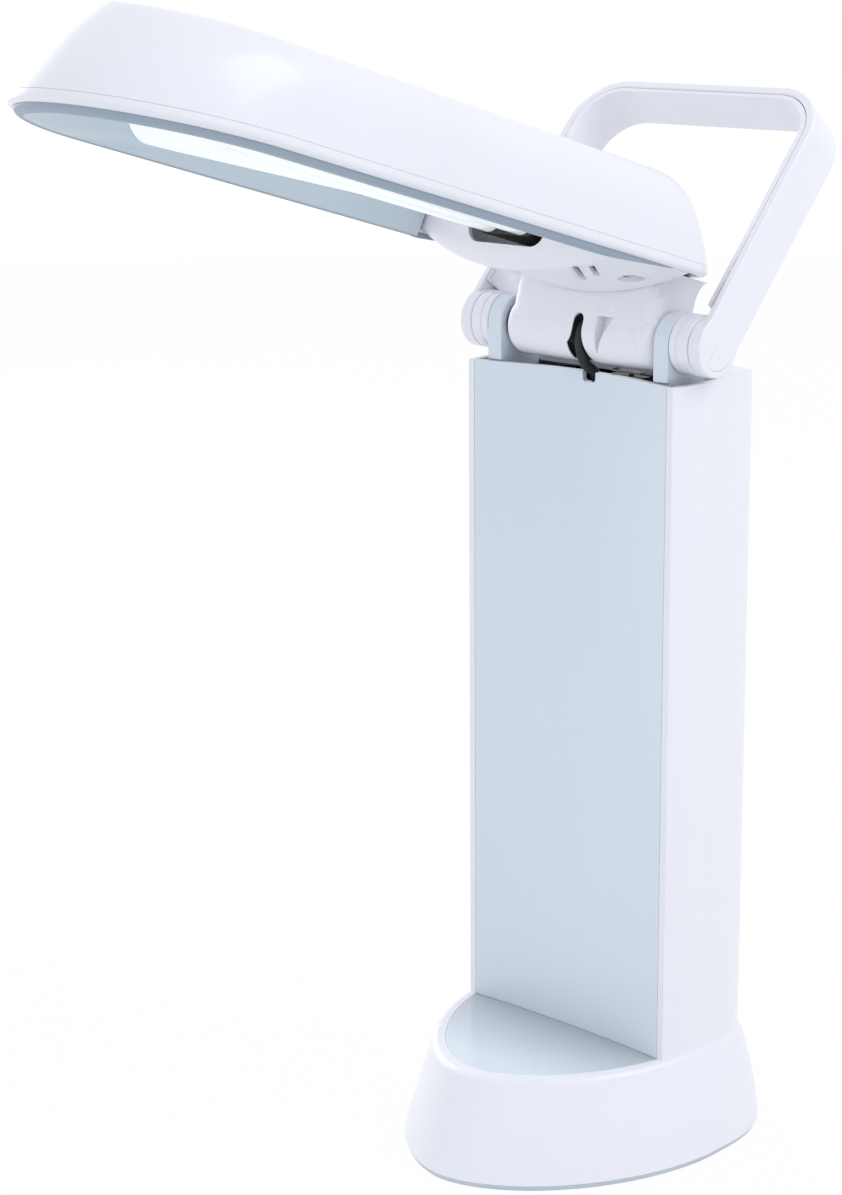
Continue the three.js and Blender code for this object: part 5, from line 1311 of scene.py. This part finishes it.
def make_light(name, place, target, size, power, colour=(1, 1, 1)):
    data = bpy.data.lights.new(name, "AREA")
    data.shape = "RECTANGLE"
    data.size, data.size_y = size
    data.energy = power
    data.color = colour
    light = bpy.data.objects.new(name, data)
    bpy.context.scene.collection.objects.link(light)
    light.location = place
    light.rotation_mode = "QUATERNION"
    light.rotation_quaternion = (Vector(target) - Vector(place)).to_track_quat("-Z", "Y")


# Add-on classes

class TaskLampFinish(bpy.types.PropertyGroup):
    shell_colour: bpy.props.FloatVectorProperty(
        name="Shell colour", description="Colour of the white mouldings", subtype="COLOR", size=3,
        min=0, max=1, default=(0.88, 0.87, 0.92))
    panel_colour: bpy.props.FloatVectorProperty(
        name="Panel colour", description="Colour of the front panel and ears", subtype="COLOR", size=3,
        min=0, max=1, default=(0.73, 0.79, 0.87))
    lining_colour: bpy.props.FloatVectorProperty(
        name="Lining colour", description="Colour of the lining round the reflector", subtype="COLOR", size=3,
        min=0, max=1, default=(0.6, 0.68, 0.75))
    # Painted shade: the lip is coloured darker than the lining for the shade on its underside.
    lip_shade_colour: bpy.props.FloatVectorProperty(
        name="Lip shade colour", description="Colour of the lip under the bezel", subtype="COLOR", size=3,
        min=0, max=1, default=(0.34, 0.4, 0.48))
    rim_colour: bpy.props.FloatVectorProperty(
        name="Rim colour", description="Colour of the plate under the foot", subtype="COLOR", size=3,
        min=0, max=1, default=(0.6, 0.67, 0.74))
    tube_glow: bpy.props.FloatProperty(
        name="Tube glow", description="Light given by the lit tube", min=0, max=20, default=0.2)
    grain_height: bpy.props.FloatProperty(
        name="Grain height", description="Height of the moulded grain", subtype="DISTANCE", unit="LENGTH",
        min=0, max=0.0001, default=0.000004, precision=6)
    edge_softness: bpy.props.FloatProperty(
        name="Edge softness", description="Width of the softened edges", subtype="DISTANCE", unit="LENGTH",
        min=0, max=0.002, default=0.0005, precision=5)


class TaskLampStage(bpy.types.PropertyGroup):
    sky_strength: bpy.props.FloatProperty(
        name="Sky strength", description="Brightness of the even light all round", min=0, max=4, default=0.81)
    side_power: bpy.props.FloatProperty(
        name="Side power", description="Power of the lamp high on the right", subtype="POWER", unit="POWER",
        min=0, default=9.5)
    front_power: bpy.props.FloatProperty(
        name="Front power", description="Power of the low lamp in front", subtype="POWER", unit="POWER",
        min=0, default=4.5)
    back_power: bpy.props.FloatProperty(
        name="Back power", description="Power of the lamp behind on the left", subtype="POWER", unit="POWER",
        min=0, default=11.0)


SIDES = ((-1, "left"), (1, "right"))


class TASKLAMP_OT_stage(bpy.types.Operator):
    """Makes the camera, the floor, the lamps and the pale surroundings"""
    bl_idname = "task_lamp.stage"
    bl_label = "Stage"

    def execute(self, context):
        stage = context.scene.task_lamp_stage
        context.scene.view_settings.view_transform = "Standard"
        make_camera()
        make_world()
        make_floor()
        middle = (0, -0.05, 0.25)
        make_light("side lamp", (1.3, 0.4, 1.5), middle, (1.2, 1.2), stage.side_power)
        make_light("front lamp", (0.1, -1.8, 0.4), middle, (2.8, 1.8), stage.front_power)
        make_light("back lamp", (-1.7, 0.2, 0.8), middle, (1.4, 1.4), stage.back_power)
        return {"FINISHED"}


class TASKLAMP_OT_foot(bpy.types.Operator):
    """Makes the foot: its base plate, screws and the bushing of the mains lead"""
    bl_idname = "task_lamp.foot"
    bl_label = "Foot"

    def execute(self, context):
        piece("foot_plate", plate_mesh(), "rim", "column", ["base_plate"], PLATE_SOFT, 2)
        piece("gland", gland_mesh(), "black", "column", ["cord_gland"])
        for name in [f"base_screw_{number}" for number in range(1, 5)]:
            piece("foot_" + name, base_screw_mesh(name), "steel", "column", [name])
        return {"FINISHED"}


class TASKLAMP_OT_column(bpy.types.Operator):
    """Makes the column's housing, its front panel and the ledge at its foot"""
    bl_idname = "task_lamp.column"
    bl_label = "Column"

    def execute(self, context):
        soft = context.scene.task_lamp_finish.edge_softness
        piece("housing", column_mesh(), "white", "column", ["column_housing"], soft)
        piece("panel", panel_mesh(), "panel", "column", ["front_panel"], soft)
        piece("ledge", tray_mesh(), "ledge", "column", ["ledge_tray"], soft / 2)
        return {"FINISHED"}


class TASKLAMP_OT_hinge(bpy.types.Operator):
    """Makes the hinge: bracket, its floor dark as painted shade, collars, barrel, and the lead that
    crosses it, with a black sleeve in its slot as painted shadow
    """
    bl_idname = "task_lamp.hinge"
    bl_label = "Hinge"

    def execute(self, context):
        soft = context.scene.task_lamp_finish.edge_softness
        piece("bracket_ears", bracket_ears_mesh(), "panel", "column", ["hinge_bracket"], soft)
        # Painted shade: the floor is coloured dark for the shadow under the barrel.
        piece("bracket_floor", bracket_floor_mesh(), "shaded", "column", ["hinge_bracket"],
              soft / 2)
        for side, name in SIDES:
            node = "hub_collar_" + name
            piece("collar_" + name, collar_mesh(side), "white", "column", [node])
        piece("barrel", barrel_mesh(), "white", "head", ["hinge_barrel"], soft / 2)
        # Painted shadow: a black sleeve darkens the lead's slot.
        piece("lead_slot_shadow", shadow_sleeve_mesh(), "lead", "head", ["hinge_barrel"])
        route = smooth_route(lead_route())
        lead = piece("lead", tube_along(route, LEAD_DIAMETER / 2), "lead", None, ["hinge_lead"])
        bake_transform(lead)
        return {"FINISHED"}


class TASKLAMP_OT_head(bpy.types.Operator):
    """Makes the head: shell, bezel with its lip and lining, reflector, screws, cover and the lamp in it"""
    bl_idname = "task_lamp.head"
    bl_label = "Head"

    def execute(self, context):
        soft = context.scene.task_lamp_finish.edge_softness
        piece("shell", shell_mesh(), "white", "head", ["head_shell"], soft / 2)
        piece("bezel", bezel_mesh(), "white", "head", ["head_bezel"])
        piece("lip", lip_mesh(), "lip", "head", ["head_bezel"])
        piece("lining", lining_mesh(), "lining", "head", ["head_bezel"])
        piece("reflector_bath", reflector_mesh(), "reflector", "head", ["reflector"], soft / 3)
        for side, name in SIDES:
            node = "neck_screw_" + name
            piece("head_" + node, neck_screw_mesh(side), "steel", "head", [node])
        piece("chin_cover", cover_mesh(), "white", "head", ["socket_cover"], soft / 2)
        piece("tubes", tube_mesh(), "tube", "head", ["lamp_tube"])
        piece("lamp_foot", lamp_base_mesh(), "black", "head", ["lamp_base"])
        return {"FINISHED"}


class TASKLAMP_OT_handle(bpy.types.Operator):
    """Makes the two halves of the handle and the caps of its hubs"""
    bl_idname = "task_lamp.handle"
    bl_label = "Handle"

    def execute(self, context):
        soft = context.scene.task_lamp_finish.edge_softness
        piece("handle_strap", handle_outer_mesh(), "white", "handle", ["handle_outer"],
              soft / 3)
        piece("handle_liner", handle_inner_mesh(), "white", "handle", ["handle_inner"])
        for side, name in SIDES:
            node = "hub_cap_" + name
            piece("cap_" + name, cap_mesh(side), "white", "handle", [node], soft / 2)
        return {"FINISHED"}


CARRIED = {
    "rubber": ["base_pad"],
    "steel": ["pivot_bolt_left", "pivot_bolt_right", "tube_clip"],
    "iron": ["switch_lever", "weight_plate", "ballast_core"],
    "copper": ["ballast_coil"],
    "black": ["friction_washer_left", "friction_washer_right", "lamp_socket", "switch_body",
              "switch_plunger"],
}


class TASKLAMP_OT_carried(bpy.types.Operator):
    """Gives the CAD pieces that stay their finishes"""
    bl_idname = "task_lamp.carried"
    bl_label = "Carried pieces"

    def execute(self, context):
        for look, names in CARRIED.items():
            for slot in [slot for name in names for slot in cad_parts[name].material_slots]:
                slot.material = finishes()[look]
        return {"FINISHED"}


class TASKLAMP_PT_panel(bpy.types.Panel):
    bl_idname = "TASKLAMP_PT_panel"
    bl_label = "Task Lamp"
    bl_space_type = "VIEW_3D"
    bl_region_type = "UI"
    bl_category = "Task Lamp"

    def draw(self, context):
        for group in (context.scene.task_lamp_finish, context.scene.task_lamp_stage):
            for name in group.bl_rna.properties.keys():
                if name not in ("rna_type", "name"):
                    self.layout.prop(group, name)
        for operator in OPERATORS:
            self.layout.operator(operator.bl_idname)


OPERATORS = (TASKLAMP_OT_stage, TASKLAMP_OT_foot, TASKLAMP_OT_column, TASKLAMP_OT_hinge, TASKLAMP_OT_head,
             TASKLAMP_OT_handle, TASKLAMP_OT_carried)
CLASSES = (TaskLampFinish, TaskLampStage, *OPERATORS, TASKLAMP_PT_panel)


def register():
    for item in CLASSES:
        bpy.utils.register_class(item)
    bpy.types.Scene.task_lamp_finish = bpy.props.PointerProperty(type=TaskLampFinish)
    bpy.types.Scene.task_lamp_stage = bpy.props.PointerProperty(type=TaskLampStage)


def unregister():
    del bpy.types.Scene.task_lamp_stage
    del bpy.types.Scene.task_lamp_finish
    for item in reversed(CLASSES):
        bpy.utils.unregister_class(item)


def main():
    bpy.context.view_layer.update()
    register()
    bpy.ops.task_lamp.stage()
    bpy.ops.task_lamp.foot()
    bpy.ops.task_lamp.column()
    bpy.ops.task_lamp.hinge()
    bpy.ops.task_lamp.head()
    bpy.ops.task_lamp.handle()
    bpy.ops.task_lamp.carried()


if __name__ == "__main__":
    main()
